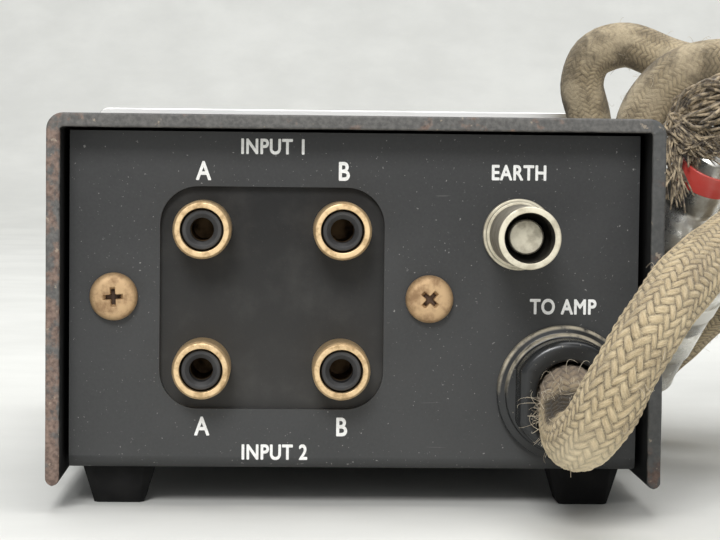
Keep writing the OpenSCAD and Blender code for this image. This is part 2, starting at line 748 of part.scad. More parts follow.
module jack_insulators() {
    face = jack_out - jack_sink;
    color([0.06, 0.06, 0.06])
        for (p = jack_at) out(p[0], y_inner, p[1]) difference() {
            translate([0, 0, -board_t - jack_tail])
                cylinder(d = jack_bore, h = board_t + jack_tail + face);
            translate([0, 0, -board_t - jack_tail - 1])
                cylinder(d = contact_d, h = board_t + jack_tail + face - contact_deep + 1);
            cylinder(d = pin_hole, h = face + 1);
            translate([0, 0, face - 0.5]) cylinder(d1 = pin_hole, d2 = pin_hole + 1.2, h = 0.6);
        }
}

module jack_contacts() {
    top = jack_out - jack_sink - contact_deep;
    low = -board_t - jack_tail - 1;
    color([0.8, 0.65, 0.35])
        for (p = jack_at) out(p[0], y_inner, p[1]) {
            difference() {
                translate([0, 0, low]) cylinder(d = contact_d, h = top - low);
                translate([0, 0, low + 1.4]) cylinder(d = contact_bore, h = top - low);
            }
            translate([0, 0, low - 5]) cylinder(d = contact_tail, h = 5.5);
        }
}

module jack_ground_tags() {
    color([0.75, 0.74, 0.7])
        for (p = jack_at) out(p[0], y_inner + board_t + tag_t, p[1]) difference() {
            union() {
                cylinder(d = tag_d, h = tag_t);
                translate([0, -1.5, 0]) cube([tag_l, 3, tag_t]);
                translate([tag_l, 0, 0]) cylinder(d = 3, h = tag_t);
            }
            translate([0, 0, -1]) cylinder(d = jack_thread, h = tag_t + 2);
            translate([tag_l, 0, -1]) cylinder(d = 1.4, h = tag_t + 2);
        }
}

module jack_nuts() {
    color([0.8, 0.65, 0.35])
        for (p = jack_at) out(p[0], y_inner + board_t + tag_t + jack_nut_h, p[1]) difference() {
            hex(jack_nut, jack_nut_h);
            translate([0, 0, -1]) cylinder(d = jack_thread, h = jack_nut_h + 2);
        }
}

module board_screws() {
    color([0.65, 0.5, 0.3])
        for (s = [-1, 1]) out(jacks_x + s * board_screw, y_panel, board_screw_z)
            truss_screw(sheet_t + board_t + m3_nut_h + 1, s < 0 ? 0 : 45);
}

module board_nuts() {
    color([0.7, 0.7, 0.68])
        for (s = [-1, 1]) out(jacks_x + s * board_screw, y_inner + board_t + m3_nut_h, board_screw_z)
            difference() {
                hex(m3_nut, m3_nut_h);
                translate([0, 0, -1]) cylinder(d = m3_d, h = m3_nut_h + 2);
            }
}

module ground_stud() {
    color([0.75, 0.72, 0.62])
        out(post_x, y_panel + post_in, post_z) {
            cylinder(d = post_d, h = post_in + post_out - 0.5);
            translate([0, 0, post_in + post_out - 0.5]) cylinder(d1 = post_d, d2 = post_d - 0.8, h = 0.5);
        }
}

module ground_collar() {
    color([0.75, 0.72, 0.62])
        out(post_x, y_panel, post_z) tube(collar_d, post_d, collar_t);
}

module ground_washer() {
    color([0.75, 0.72, 0.62])
        out(post_x, y_panel - collar_t, post_z) tube(washer_d, post_d + 2 * post_fit, washer_t);
}

module ground_cap() {
    color([0.75, 0.72, 0.62])
        out(post_x, y_panel - collar_t - washer_t, post_z) difference() {
            cylinder(d = cap_d, h = cap_l);
            translate([0, 0, -1]) cylinder(d = post_d + 2 * post_fit, h = cap_l + 2);
            translate([0, 0, cap_thread]) cylinder(d = cap_bore, h = cap_l);
        }
}

module ground_lug() {
    color([0.75, 0.74, 0.7])
        out(post_x, y_inner + lug_t, post_z) rotate([0, 0, 30]) difference() {
            union() {
                cylinder(d = lug_d, h = lug_t);
                translate([0, -1.75, 0]) cube([lug_l, 3.5, lug_t]);
                translate([lug_l, 0, 0]) cylinder(d = 3.5, h = lug_t);
            }
            translate([0, 0, -1]) cylinder(d = post_d, h = lug_t + 2);
            translate([lug_l, 0, -1]) cylinder(d = 1.6, h = lug_t + 2);
        }
}

module ground_nut() {
    color([0.75, 0.72, 0.62])
        out(post_x, y_inner + lug_t + post_nut_h, post_z) difference() {
            hex(post_nut, post_nut_h);
            translate([0, 0, -1]) cylinder(d = post_d, h = post_nut_h + 2);
        }
}

// moulded bush: flange in two steps, a nose with flat sides, and a threaded neck behind
module cord_bush() {
    color([0.05, 0.05, 0.05])
        out(bush_x, y_panel, bush_z) difference() {
            union() {
                cylinder(d = bush_d, h = bush_flange - bush_step);
                cylinder(d = bush_step_d, h = bush_flange);
                intersection() {
                    union() {
                        cylinder(d = nose_d, h = nose_h - 0.8);
                        translate([0, 0, nose_h - 0.8]) cylinder(d1 = nose_d, d2 = nose_d - 1.6, h = 0.8);
                    }
                    translate([-nose_w / 2, -nose_d, -1]) cube([nose_w, 2 * nose_d, nose_h + 2]);
                }
                translate([0, 0, -neck_l]) cylinder(d = neck_d, h = neck_l + 1);
            }
            translate([0, -mouth_drop, mouth_floor]) linear_extrude(nose_h)
                rounded_mid(mouth_w, mouth_h, mouth_r);
            translate([0, 0, -neck_l - 1]) cylinder(d = bush_bore, h = neck_l + nose_h);
        }
}

module bush_ring_nut() {
    color([0.05, 0.05, 0.05])
        out(bush_x, y_inner + ring_nut_h, bush_z) tube(ring_nut_d, neck_d, ring_nut_h);
}

module output_cord() {
    color([0.66, 0.59, 0.46]) sweep(lead_path, cord_r, 10, [0.86, 0, -0.5], [0, -1, 0], coil_t0);
}

module cord_coil() {
    color([0.66, 0.59, 0.46]) sweep(coil_path, cord_r, 6, [0.1, -0.7, 0.7], coil_t0, coil_t1);
}

module coil_tie() {
    color([0.25, 0.23, 0.2]) loop(string_path, string_d / 2, 6, coil_e2);
}

module cord_splitter() {
    color([0.1, 0.1, 0.1])
        along(split_base, split_end) difference() {
            cylinder(d = split_d, h = split_l);
            translate([0, 0, -1]) cylinder(d = cord_d + split_fit, h = split_l - split_floor + 1);
        }
}

module left_lead() {
    color([0.3, 0.3, 0.3]) sweep(lead_b, lead_d / 2, 8, [0.3, 0.7, 0.7], coil_t1, plug_dir[1]);
}

module right_lead() {
    color([0.3, 0.3, 0.3]) sweep(lead_a, lead_d / 2, 8, [0.3, 0.7, 0.7], coil_t1, plug_dir[0]);
}

module plug_shell(p) {
    color([0.8, 0.8, 0.8])
        along(p[0], p[1]) difference() {
            cylinder(d = plug_d, h = plug_l + plug_collar);
            translate([0, 0, plug_l]) cylinder(d = plug_bore, h = plug_collar + 1);
        }
}

module plug_pin_of(p) {
    color([0.8, 0.8, 0.8])
        along(p[0], p[1]) translate([0, 0, plug_l]) {
            cylinder(d = plug_pin, h = plug_pin_l - 1);
            translate([0, 0, plug_pin_l - 1]) cylinder(d1 = plug_pin, d2 = plug_pin - 1.4, h = 1);
        }
}

module left_plug_shell() { plug_shell(plug_b); }
module left_plug_pin() { plug_pin_of(plug_b); }
module right_plug_shell() { plug_shell(plug_a); }
module right_plug_pin() { plug_pin_of(plug_a); }

// stamped cup of a rotary switch with its threaded bush
module switch_cup(x) {
    color([0.72, 0.7, 0.62])
        forth(x, y_flange, face_mid) difference() {
            union() {
                translate([0, 0, -cup_h]) cylinder(d = cup_d, h = cup_h);
                cylinder(d = throat_d, h = sheet_t + face_t + throat_out);
            }
            translate([0, 0, -cup_h - 1]) cylinder(d = cup_bore, h = cup_h - cup_floor + 1);
            translate([0, 0, -cup_h])
                cylinder(d = shaft_d + 2 * shaft_fit, h = cup_h + face_t + sheet_t + 9);
            for (s = [-1, 1]) translate([s * tie_r, 0, -cup_h - 1]) cylinder(d = tie_thread, h = 5);
        }
}

module switch_wafer(x) {
    color([0.45, 0.3, 0.15])
        forth(x, wafer_y - wafer_t, face_mid) difference() {
            linear_extrude(wafer_t) rounded_mid(wafer_w, wafer_h, 6);
            translate([0, 0, -1]) cylinder(d = wafer_hole, h = wafer_t + 2);
            for (s = [-1, 1]) translate([s * tie_r, 0, -1]) cylinder(d = tie_thread, h = wafer_t + 2);
        }
}

module shaft(x) {
    low = -cup_h - wafer_back - wafer_t - 2.4;
    top = shaft_tip - y_flange;
    color([0.75, 0.75, 0.73])
        forth(x, y_flange, face_mid) {
            translate([0, 0, low]) cylinder(d = shaft_d, h = top - low);
            translate([0, 0, -cup_floor - stop_play - stop_t]) cylinder(d = stop_d, h = stop_t);
        }
}

module rotor(x) {
    color([0.85, 0.8, 0.65])
        forth(x, wafer_y - wafer_t / 2, face_mid) difference() {
            union() {
                translate([0, 0, -wafer_t / 2]) cylinder(d = wafer_hole - 2 * rotor_gap, h = wafer_t);
                translate([0, 0, -hub_l / 2]) cylinder(d = hub_d, h = hub_l);
            }
            translate([0, 0, -hub_l]) cylinder(d = shaft_d, h = 2 * hub_l);
        }
}

// turned knob with a hollow over the nut, an index groove and a cross hole for its screw
module knob(x) {
    color([0.78, 0.78, 0.76])
        forth(x, y_face + knob_gap, face_mid) difference() {
            union() {
                cylinder(d = knob_d, h = knob_h - 0.8);
                translate([0, 0, knob_h - 0.8]) cylinder(d1 = knob_d, d2 = knob_d - 1.6, h = 0.8);
            }
            translate([0, 0, -1]) cylinder(d = knob_hollow, h = knob_hollow_h + 1);
            translate([0, 0, -1]) cylinder(d = shaft_d, h = knob_bore + 1);
            translate([-groove_w / 2, -knob_d / 2 - 1, knob_hollow_h])
                cube([groove_w, 1 + groove, knob_h]);
            translate([-groove_w / 2, -knob_d / 2 - 1, knob_h - groove])
                cube([groove_w, knob_d / 2 - 2, groove + 1]);
            translate([0, 0, grub_z]) rotate([-90, 0, 0]) cylinder(d = m3_d, h = knob_d);
        }
}

module grub(x) {
    color([0.25, 0.25, 0.25])
        forth(x, y_face + knob_gap, face_mid) translate([0, shaft_d / 2, grub_z]) rotate([-90, 0, 0])
            difference() {
                cylinder(d = m3_d, h = 5);
                translate([0, 0, 3.6]) cylinder(d = 1.7, h = 3, $fn = 6);
            }
}

module input_switch_cup() { switch_cup(-switch_x); }
module input_switch_wafer() { switch_wafer(-switch_x); }
module input_shaft() { shaft(-switch_x); }
module input_rotor() { rotor(-switch_x); }
module input_knob() { knob(-switch_x); }
module input_knob_grub() { grub(-switch_x); }
module load_switch_cup() { switch_cup(switch_x); }
module load_switch_wafer() { switch_wafer(switch_x); }
module load_shaft() { shaft(switch_x); }
module load_rotor() { rotor(switch_x); }
module load_knob() { knob(switch_x); }
module load_knob_grub() { grub(switch_x); }

module switch_nuts() {
    color([0.75, 0.74, 0.7])
        for (s = [-1, 1]) forth(s * switch_x, y_face, face_mid) difference() {
            hex(throat_nut, throat_nut_h);
            translate([0, 0, -1]) cylinder(d = throat_d, h = throat_nut_h + 2);
        }
}

module switch_tie_posts() {
    color([0.75, 0.74, 0.7])
        for (s = [-1, 1], e = [-1, 1]) forth(s * switch_x + e * tie_r, y_flange - cup_h, face_mid) {
            translate([0, 0, -wafer_back]) cylinder(d = tie_d, h = wafer_back);
            translate([0, 0, -wafer_back - wafer_t - 0.5])
                cylinder(d = tie_thread, h = wafer_back + wafer_t + 4);
            translate([0, 0, -wafer_back - wafer_t - 1.6]) cylinder(d = tie_d, h = 1.6);
        }
}

module can(x) {
    color([0.6, 0.6, 0.58])
        translate([x, y_rear + can_y, z_in]) difference() {
            union() {
                cylinder(d = can_d + 2 * can_rim, h = can_t);
                cylinder(d = can_d, h = can_h);
                translate([-ear_w / 2, -can_screw, 0]) cube([ear_w, 2 * can_screw, can_t]);
                for (y = [-can_screw, can_screw]) translate([0, y, 0]) cylinder(d = ear_w, h = can_t);
            }
            translate([0, 0, -1]) cylinder(d = can_d - 2 * can_t, h = can_h - can_t + 1);
            for (y = [-can_screw, can_screw]) translate([0, y, -1])
                cylinder(d = small_d + 0.4, h = can_t + 2);
        }
}

module left_can() { can(-can_x); }
module right_can() { can(can_x); }

module can_screws() {
    color([0.7, 0.7, 0.68])
        for (s = [-1, 1], e = [-1, 1])
            translate([s * can_x, y_rear + can_y + e * can_screw, z_in + can_t])
                pan_screw(can_t + sheet_t + 1, small_d, small_head, small_head_h);
}

// stack of core plates with a winding window on each side of the middle leg
module core(x) {
    color([0.35, 0.35, 0.36])
        translate([x, y_rear + can_y, core_base]) difference() {
            translate([-core_w / 2, -core_s / 2, 0]) cube([core_w, core_s, core_h]);
            for (s = [0, 1]) mirror([s, 0, 0])
                translate([leg_w / 2, -core_s, (core_h - gap_h) / 2]) cube([gap_w, 2 * core_s, gap_h]);
        }
}

module winding(x) {
    color([0.6, 0.35, 0.2])
        translate([x, y_rear + can_y, core_base + (core_h - gap_h) / 2 + wind_gap]) difference() {
            linear_extrude(gap_h - 2 * wind_gap)
                rounded_mid(leg_w + 2 * (gap_w - wind_gap), core_s + 2 * wind_out, 3);
            translate([-leg_w / 2, -core_s / 2, -1]) cube([leg_w, core_s, gap_h + 2]);
        }
}

module left_core() { core(-can_x); }
module right_core() { core(can_x); }
module left_winding() { winding(-can_x); }
module right_winding() { winding(can_x); }

cover();
chassis();
front_panel();
cover_screws();
front_panel_screws();
foot_rear_left();
foot_rear_right();
foot_front_left();
foot_front_right();
foot_screws();
jack_board();
jack_shell_1_left();
jack_shell_1_right();
jack_shell_2_left();
jack_shell_2_right();
jack_insulators();
jack_contacts();
jack_ground_tags();
jack_nuts();
board_screws();
board_nuts();
ground_stud();
ground_collar();
ground_washer();
ground_cap();
ground_nut();
ground_lug();
cord_bush();
bush_ring_nut();
output_cord();
cord_coil();
coil_tie();
cord_splitter();
left_lead();
right_lead();
left_plug_shell();
left_plug_pin();
right_plug_shell();
right_plug_pin();
input_switch_cup();
input_switch_wafer();
input_shaft();
input_rotor();
input_knob();
input_knob_grub();
load_switch_cup();
load_switch_wafer();
load_shaft();
load_rotor();
load_knob();
load_knob_grub();
switch_nuts();
switch_tie_posts();
left_can();
right_can();
left_core();
right_core();
left_winding();
right_winding();
can_screws();
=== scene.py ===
"""Dressed scene of a moving coil step-up transformer, seen from its jack side. Lengths are metres."""
import math

import bmesh
import bpy
import numpy as np
from mathutils import Matrix, Vector


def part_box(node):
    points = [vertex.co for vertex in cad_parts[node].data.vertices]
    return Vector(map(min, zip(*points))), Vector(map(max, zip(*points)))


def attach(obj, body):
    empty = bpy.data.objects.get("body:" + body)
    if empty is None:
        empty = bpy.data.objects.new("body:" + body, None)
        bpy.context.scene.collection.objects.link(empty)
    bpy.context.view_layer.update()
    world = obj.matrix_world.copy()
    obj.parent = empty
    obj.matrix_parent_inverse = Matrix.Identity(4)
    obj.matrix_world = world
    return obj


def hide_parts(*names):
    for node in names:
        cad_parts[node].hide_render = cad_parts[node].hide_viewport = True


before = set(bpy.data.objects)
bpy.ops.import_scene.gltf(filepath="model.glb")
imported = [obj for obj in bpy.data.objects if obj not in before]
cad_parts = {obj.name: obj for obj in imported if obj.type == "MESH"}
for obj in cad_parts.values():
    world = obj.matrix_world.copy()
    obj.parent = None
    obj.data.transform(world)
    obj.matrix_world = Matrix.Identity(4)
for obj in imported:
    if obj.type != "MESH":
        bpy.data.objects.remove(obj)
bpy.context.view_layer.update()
MM = 0.001

# Camera: held about 30 cm behind the unit, a little above its top edge and turned a little
# to the right. Its place and angles were fitted to the cover's corners, the jack rims and
# the upper edge of the front panel.
rear_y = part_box("cover")[0][1]
FRAME_W = 720
FOCAL_PX = 2130
SENSOR_MM = 36
eye = Vector((-10.4 * MM, rear_y - 301.8 * MM, 51.1 * MM))
yaw = math.radians(2.065)
pitch = math.radians(-3.026)
roll = math.radians(0.63)
ahead = Vector((math.sin(yaw) * math.cos(pitch), math.cos(yaw) * math.cos(pitch), math.sin(pitch)))
level = ahead.cross(Vector((0, 0, 1))).normalized()
above = level.cross(ahead)
right = level * math.cos(roll) + above * math.sin(roll)
up = above * math.cos(roll) - level * math.sin(roll)
camera = bpy.data.objects.new("camera", bpy.data.cameras.new("camera"))
camera.data.sensor_width = SENSOR_MM
camera.data.sensor_fit = "HORIZONTAL"
camera.data.lens = FOCAL_PX / FRAME_W * SENSOR_MM
camera.data.clip_start = 0.01
camera.matrix_world = Matrix.Translation(eye) @ Matrix((right, up, -ahead)).transposed().to_4x4()
bpy.context.collection.objects.link(camera)
bpy.context.scene.camera = camera

# Output cord: two screened leads in a thick jacket of braided cotton, held in the bush. The
# jacket is woven two over two. The cord bends down out of the bush, turns up past the case's
# side, lies along the case, climbs its side and is wound into a coil that hangs beside it.
CORD_D = 8.8 * MM
COIL_R = 15.2 * MM
COIL_SHRINK = 0.2 * MM
COIL_STEP = 9.5 * MM
COIL_TURNS = 4
COIL_RINGS = 24
COIL_START = math.radians(62)
COIL_YAW = math.radians(10.6)
side_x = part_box("cover")[1][0]
coil_mid = np.array([side_x + 27.2 * MM, rear_y + 98 * MM, 53.4 * MM])
coil_n = np.array([-math.sin(COIL_YAW), -math.cos(COIL_YAW), 0])
coil_e1 = np.array([math.cos(COIL_YAW), -math.sin(COIL_YAW), 0])
coil_e2 = np.array([0, 0, 1])


def from_rear(points):
    """Points given in millimetres as x, y from the cover's rear edge, z."""
    return np.array(points) * MM + [0, rear_y, 0]


route = from_rear([
    (30.6, 4, 17.2), (30.6, -1.5, 17.2), (29.9, -6.8, 14.7), (29.5, -12.4, 13), (30.2, -18.4, 13.9),
    (32, -23, 17.6), (34.6, -25.2, 23.6), (38.4, -23.8, 29.6), (43, -18.4, 34.4), (49, -9.4, 38.2),
    (55.4, 1.5, 40.6), (61.4, 13, 40.8), (66.4, 25, 38.4), (68.8, 37, 34.6), (67.2, 49, 30.8),
    (63.4, 60.5, 26.4), (59.4, 71, 19.8), (55, 81, 12.6), (51.2, 91, 7.2), (49.4, 101, 4.8),
    (48.9, 110, 7.8), (48.8, 115, 16.4), (48.8, 115.4, 28), (48.8, 113.6, 41), (49.4, 112.4, 52.5),
    (48.7, 111.8, 59.5), (47.2, 111.2, 65.8), (49.2, 110.2, 71.2), (55.2, 108.4, 73.3), (62, 105.4, 70.8),
    (68.4, 101.6, 68.8)])
tail = from_rear([
    (79, 56.4, 63), (86.2, 53.6, 60.4), (89.8, 47.4, 58.8), (87.4, 40.8, 58), (81.4, 38.2, 57.8),
    (74.6, 38.2, 58.2)])


def unit(v):
    """A vector of length one."""
    return np.asarray(v) / np.linalg.norm(v)


def ease(a, b, t):
    """Smooth step from 0 at a to 1 at b: three squares of the share gone less two cubes of it."""
    u = np.clip((t - a) / (b - a), 0, 1)
    return u * u * (3 - 2 * u)


def coil_points(t):
    """Points of the coil after t turns: each turn comes one step nearer and is a little smaller."""
    a = COIL_START - 2 * math.pi * t
    r = COIL_R - COIL_SHRINK * t
    flat = np.outer(r * np.cos(a), coil_e1) + np.outer(r * np.sin(a), coil_e2)
    return coil_mid + np.outer(COIL_STEP * t, coil_n) + flat


def spline(points, steps):
    """Smooth curve through the points: cubic pieces whose slope at a point is half the way from the
    point before it to the point after it. Beyond the ends stand mirrored points."""
    p = np.asarray(points)
    q = np.vstack([2 * p[0] - p[1], p, 2 * p[-1] - p[-2]])
    a, b, c, d = (q[i:len(q) - 3 + i, None] for i in range(4))
    t = np.linspace(0, 1, steps, endpoint=False)[:, None]
    curve = 0.5 * (2 * b + (c - a) * t + (2 * a - 5 * b + 4 * c - d) * t**2 + (3 * b - a - 3 * c + d) * t**3)
    return np.vstack([curve.reshape(-1, 3), p[-1]])


def along(path):
    """Length along a path at each of its points."""
    return np.concatenate([[0], np.cumsum(np.linalg.norm(np.diff(path, axis=0), axis=1))])


def resample(path, at):
    """Points of a path at given lengths along it."""
    s = along(path)
    return np.stack([np.interp(at, s, path[:, k]) for k in range(3)], axis=1)


def carry(path, first):
    """Two normals along a path: the next one is the last one less its part along the new tangent."""
    tangent = np.gradient(path, axis=0)
    tangent /= np.linalg.norm(tangent, axis=1)[:, None]
    side = np.empty_like(path)
    side[0] = unit(np.asarray(first) - tangent[0] * np.dot(tangent[0], first))
    for i in range(1, len(path)):
        side[i] = unit(side[i - 1] - tangent[i] * np.dot(tangent[i], side[i - 1]))
    return side, np.cross(tangent, side)


def grid_piece(name, grids, body="case", caps=False, loop=False, uv=None):
    """Mesh piece over grids of points, rows by columns. The columns join up, and so do the rows of a loop."""
    grids = grids if isinstance(grids, list) else [grids]
    polygons = []
    start = 0
    for grid in grids:
        rows, cols = grid.shape[:2]
        i, j = np.meshgrid(np.arange(rows if loop else rows - 1), np.arange(cols), indexing="ij")
        k = (j + 1) % cols
        m = (i + 1) % rows
        quads = np.stack([i * cols + j, i * cols + k, m * cols + k, m * cols + j], axis=-1)
        polygons += (start + quads.reshape(-1, 4)).tolist()
        if caps:
            ring = start + np.arange(cols)
            polygons += [ring[::-1].tolist(), (ring + (rows - 1) * cols).tolist()]
        start += rows * cols
    mesh = bpy.data.meshes.new(name)
    mesh.from_pydata(np.vstack([grid.reshape(-1, 3) for grid in grids]).tolist(), [], polygons)
    if uv is not None:
        corners = np.stack([uv[:-1, :-1], uv[:-1, 1:], uv[1:, 1:], uv[1:, :-1]], axis=2).reshape(-1)
        flat = np.zeros(2 * len(mesh.loops))
        flat[:len(corners)] = corners
        mesh.uv_layers.new(name="UVMap").data.foreach_set("uv", flat)
    work = bmesh.new()
    work.from_mesh(mesh)
    bmesh.ops.recalc_face_normals(work, faces=work.faces)
    work.to_mesh(mesh)
    work.free()
    mesh.polygons.foreach_set("use_smooth", np.ones(len(polygons), dtype=bool))
    mesh.update()
    piece = bpy.data.objects.new(name, mesh)
    bpy.context.collection.objects.link(piece)
    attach(piece, body)
    return piece


COIL_ROWS = 1200
coil_body = coil_points(np.linspace(0, COIL_TURNS, COIL_ROWS))
coil_ends = coil_points(np.array([COIL_TURNS - 1 / COIL_RINGS, COIL_TURNS]))
ROUTE_STEPS = 40
lead_in = spline(np.vstack([route, coil_body[0]]), ROUTE_STEPS)
tail_line = spline(np.vstack([coil_ends, tail]), ROUTE_STEPS)[ROUTE_STEPS + 1:]
cord_line = np.vstack([lead_in[:-1], coil_body, tail_line])
cord_len = along(cord_line)[-1]
coil_t1 = unit(tail_line[-1] - tail_line[-1 - ROUTE_STEPS // 4])

# rows lie close together where the camera sees the braid from near by
NEAR = 105 * MM
NEAR_STEP = 0.3 * MM
FAR_ROWS = 520
near_rows = np.arange(0, NEAR, NEAR_STEP)
far_rows = np.linspace(NEAR, cord_len, FAR_ROWS)
cord_rows = np.concatenate([near_rows, far_rows])
cord_path = resample(cord_line, cord_rows)
STRANDS = 20
STRAND_PITCH = 1.42 * MM
TIGHT_PITCH = 0.98 * MM
BRAID_DEEP = 0.28 * MM
AROUND = 100


def full_turn(count):
    """Angles of one whole turn in equal steps, the last one left out."""
    return np.linspace(0, 2 * math.pi, count, endpoint=False)


def circles(a, b, count):
    """Unit circles, one for each row of normals: the cosine of the turn times a plus its sine times b."""
    turn = full_turn(count)[None, :, None]
    return np.cos(turn) * a[:, None] + np.sin(turn) * b[:, None]


def braid_height(u, v):
    """Height, 0 to 1, of a two over two braid: strands of two slopes swap places every two crossings."""
    a = STRANDS * u + v
    b = STRANDS * u - v
    turn = np.mod(np.floor(a) + np.floor(b), 4)
    first_on_top = turn < 2
    across = np.where(first_on_top, np.mod(a, 1), np.mod(b, 1))
    other = np.where(first_on_top, np.mod(b, 1), np.mod(a, 1))
    float_at = (np.mod(turn, 2) + other) / 2
    return (1 - 0.9 * (2 * across - 1) ** 2) * (0.35 + 0.65 * np.sin(math.pi * float_at))


# the jacket is pushed together towards the coil, so its strands lie closer there
pitch_at = STRAND_PITCH + (TIGHT_PITCH - STRAND_PITCH) * ease(NEAR, 3 * NEAR, cord_rows)
strands_at = np.concatenate([[0], np.cumsum(np.diff(cord_rows) / pitch_at[1:])])
turn_u = np.linspace(0, 1, AROUND + 1)
round_u, along_v = np.meshgrid(turn_u, strands_at)
stray = np.sin(6 * math.pi * round_u + 0.31 * along_v) + np.sin(10 * math.pi * round_u - 0.53 * along_v + 1)
slip = np.sin(4 * math.pi * round_u + 0.47 * along_v) + np.sin(8 * math.pi * round_u + 0.83 * along_v + 2)
cord_uv = np.stack([round_u + 0.005 * stray, along_v + 0.14 * slip], axis=-1)
raised = braid_height(cord_uv[:, :-1, 0], cord_uv[:, :-1, 1])
shown = 1 - ease(NEAR - 12 * MM, NEAR, cord_rows)
swell = 0.1 * MM * np.sin(cord_rows * 260) + 0.06 * MM * np.sin(cord_rows * 611 + 1)
radius = CORD_D / 2 - 0.12 * MM + swell[:, None] + BRAID_DEEP * (raised - 0.5) * shown[:, None]
cord_a, cord_b = carry(cord_path, (0, 0, 1))
around = circles(cord_a, cord_b, AROUND)
cord_grid = cord_path[:, None] + radius[:, :, None] * around
output_cord = grid_piece("output_cord_braid", cord_grid, caps=True, uv=cord_uv)
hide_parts("output_cord", "cord_coil")


def put(tree, socket, value):
    """Links a socket to another one, or sets it to a constant."""
    if isinstance(value, bpy.types.NodeSocket):
        tree.links.new(value, socket)
    elif isinstance(value, tuple) and len(value) == 3 and socket.type == "RGBA":
        socket.default_value = (*value, 1)
    else:
        socket.default_value = value


def node(tree, kind, ins=(), out=0, **props):
    """Adds a shader node with its properties and inputs, and returns one of its outputs."""
    made = tree.nodes.new("ShaderNode" + kind)
    for key, value in props.items():
        setattr(made, key, value)
    for key, value in dict(ins).items():
        put(tree, made.inputs[key], value)
    return made.outputs[out]


def calc(tree, operation, a, b=0.0, c=0.0):
    """One step of arithmetic on sockets or numbers."""
    return node(tree, "Math", {0: a, 1: b, 2: c}, operation=operation)


def mix(tree, share, a, b):
    """Colour a where share is 0, colour b where it is 1."""
    return node(tree, "Mix", {0: share, 6: a, 7: b}, out=2, data_type="RGBA")


def ramp(tree, value, low, high):
    """0 at low, 1 at high and a smooth change between them; low may be the larger one."""
    return node(tree, "MapRange", {"Value": value, "From Min": low, "From Max": high},
                interpolation_type="SMOOTHSTEP")


def place(tree, axis):
    """The object's own coordinate along one axis, 0 to 2."""
    return node(tree, "SeparateXYZ", {"Vector": node(tree, "TexCoord", out=3)}, out=axis)


def noise(tree, scale, detail=3.0, stretch=(1, 1, 1), seed=0.0):
    """Cloudy value from the object's own coordinates; scale is in features per metre."""
    spot = node(tree, "TexCoord", out=3)
    spot = node(tree, "Mapping", {"Vector": spot, "Scale": stretch, "Location": (seed, seed, seed)})
    return node(tree, "TexNoise", {"Vector": spot, "Scale": scale, "Detail": detail, "Roughness": 0.6})


def shader(name, colour=(0.5, 0.5, 0.5), rough=0.5, metal=0.0):
    """New material with its node tree and its principled shader."""
    material = bpy.data.materials.new(name)
    material.use_nodes = True
    tree = material.node_tree
    bsdf = tree.nodes["Principled BSDF"]
    put(tree, bsdf.inputs["Base Color"], colour)
    bsdf.inputs["Roughness"].default_value = rough
    bsdf.inputs["Metallic"].default_value = metal
    return material, tree, bsdf


def bump(tree, bsdf, height, depth, strength=1.0):
    """Bumps of a given depth in metres."""
    relief = node(tree, "Bump", {"Height": height, "Distance": depth, "Strength": strength})
    tree.links.new(relief, bsdf.inputs["Normal"])


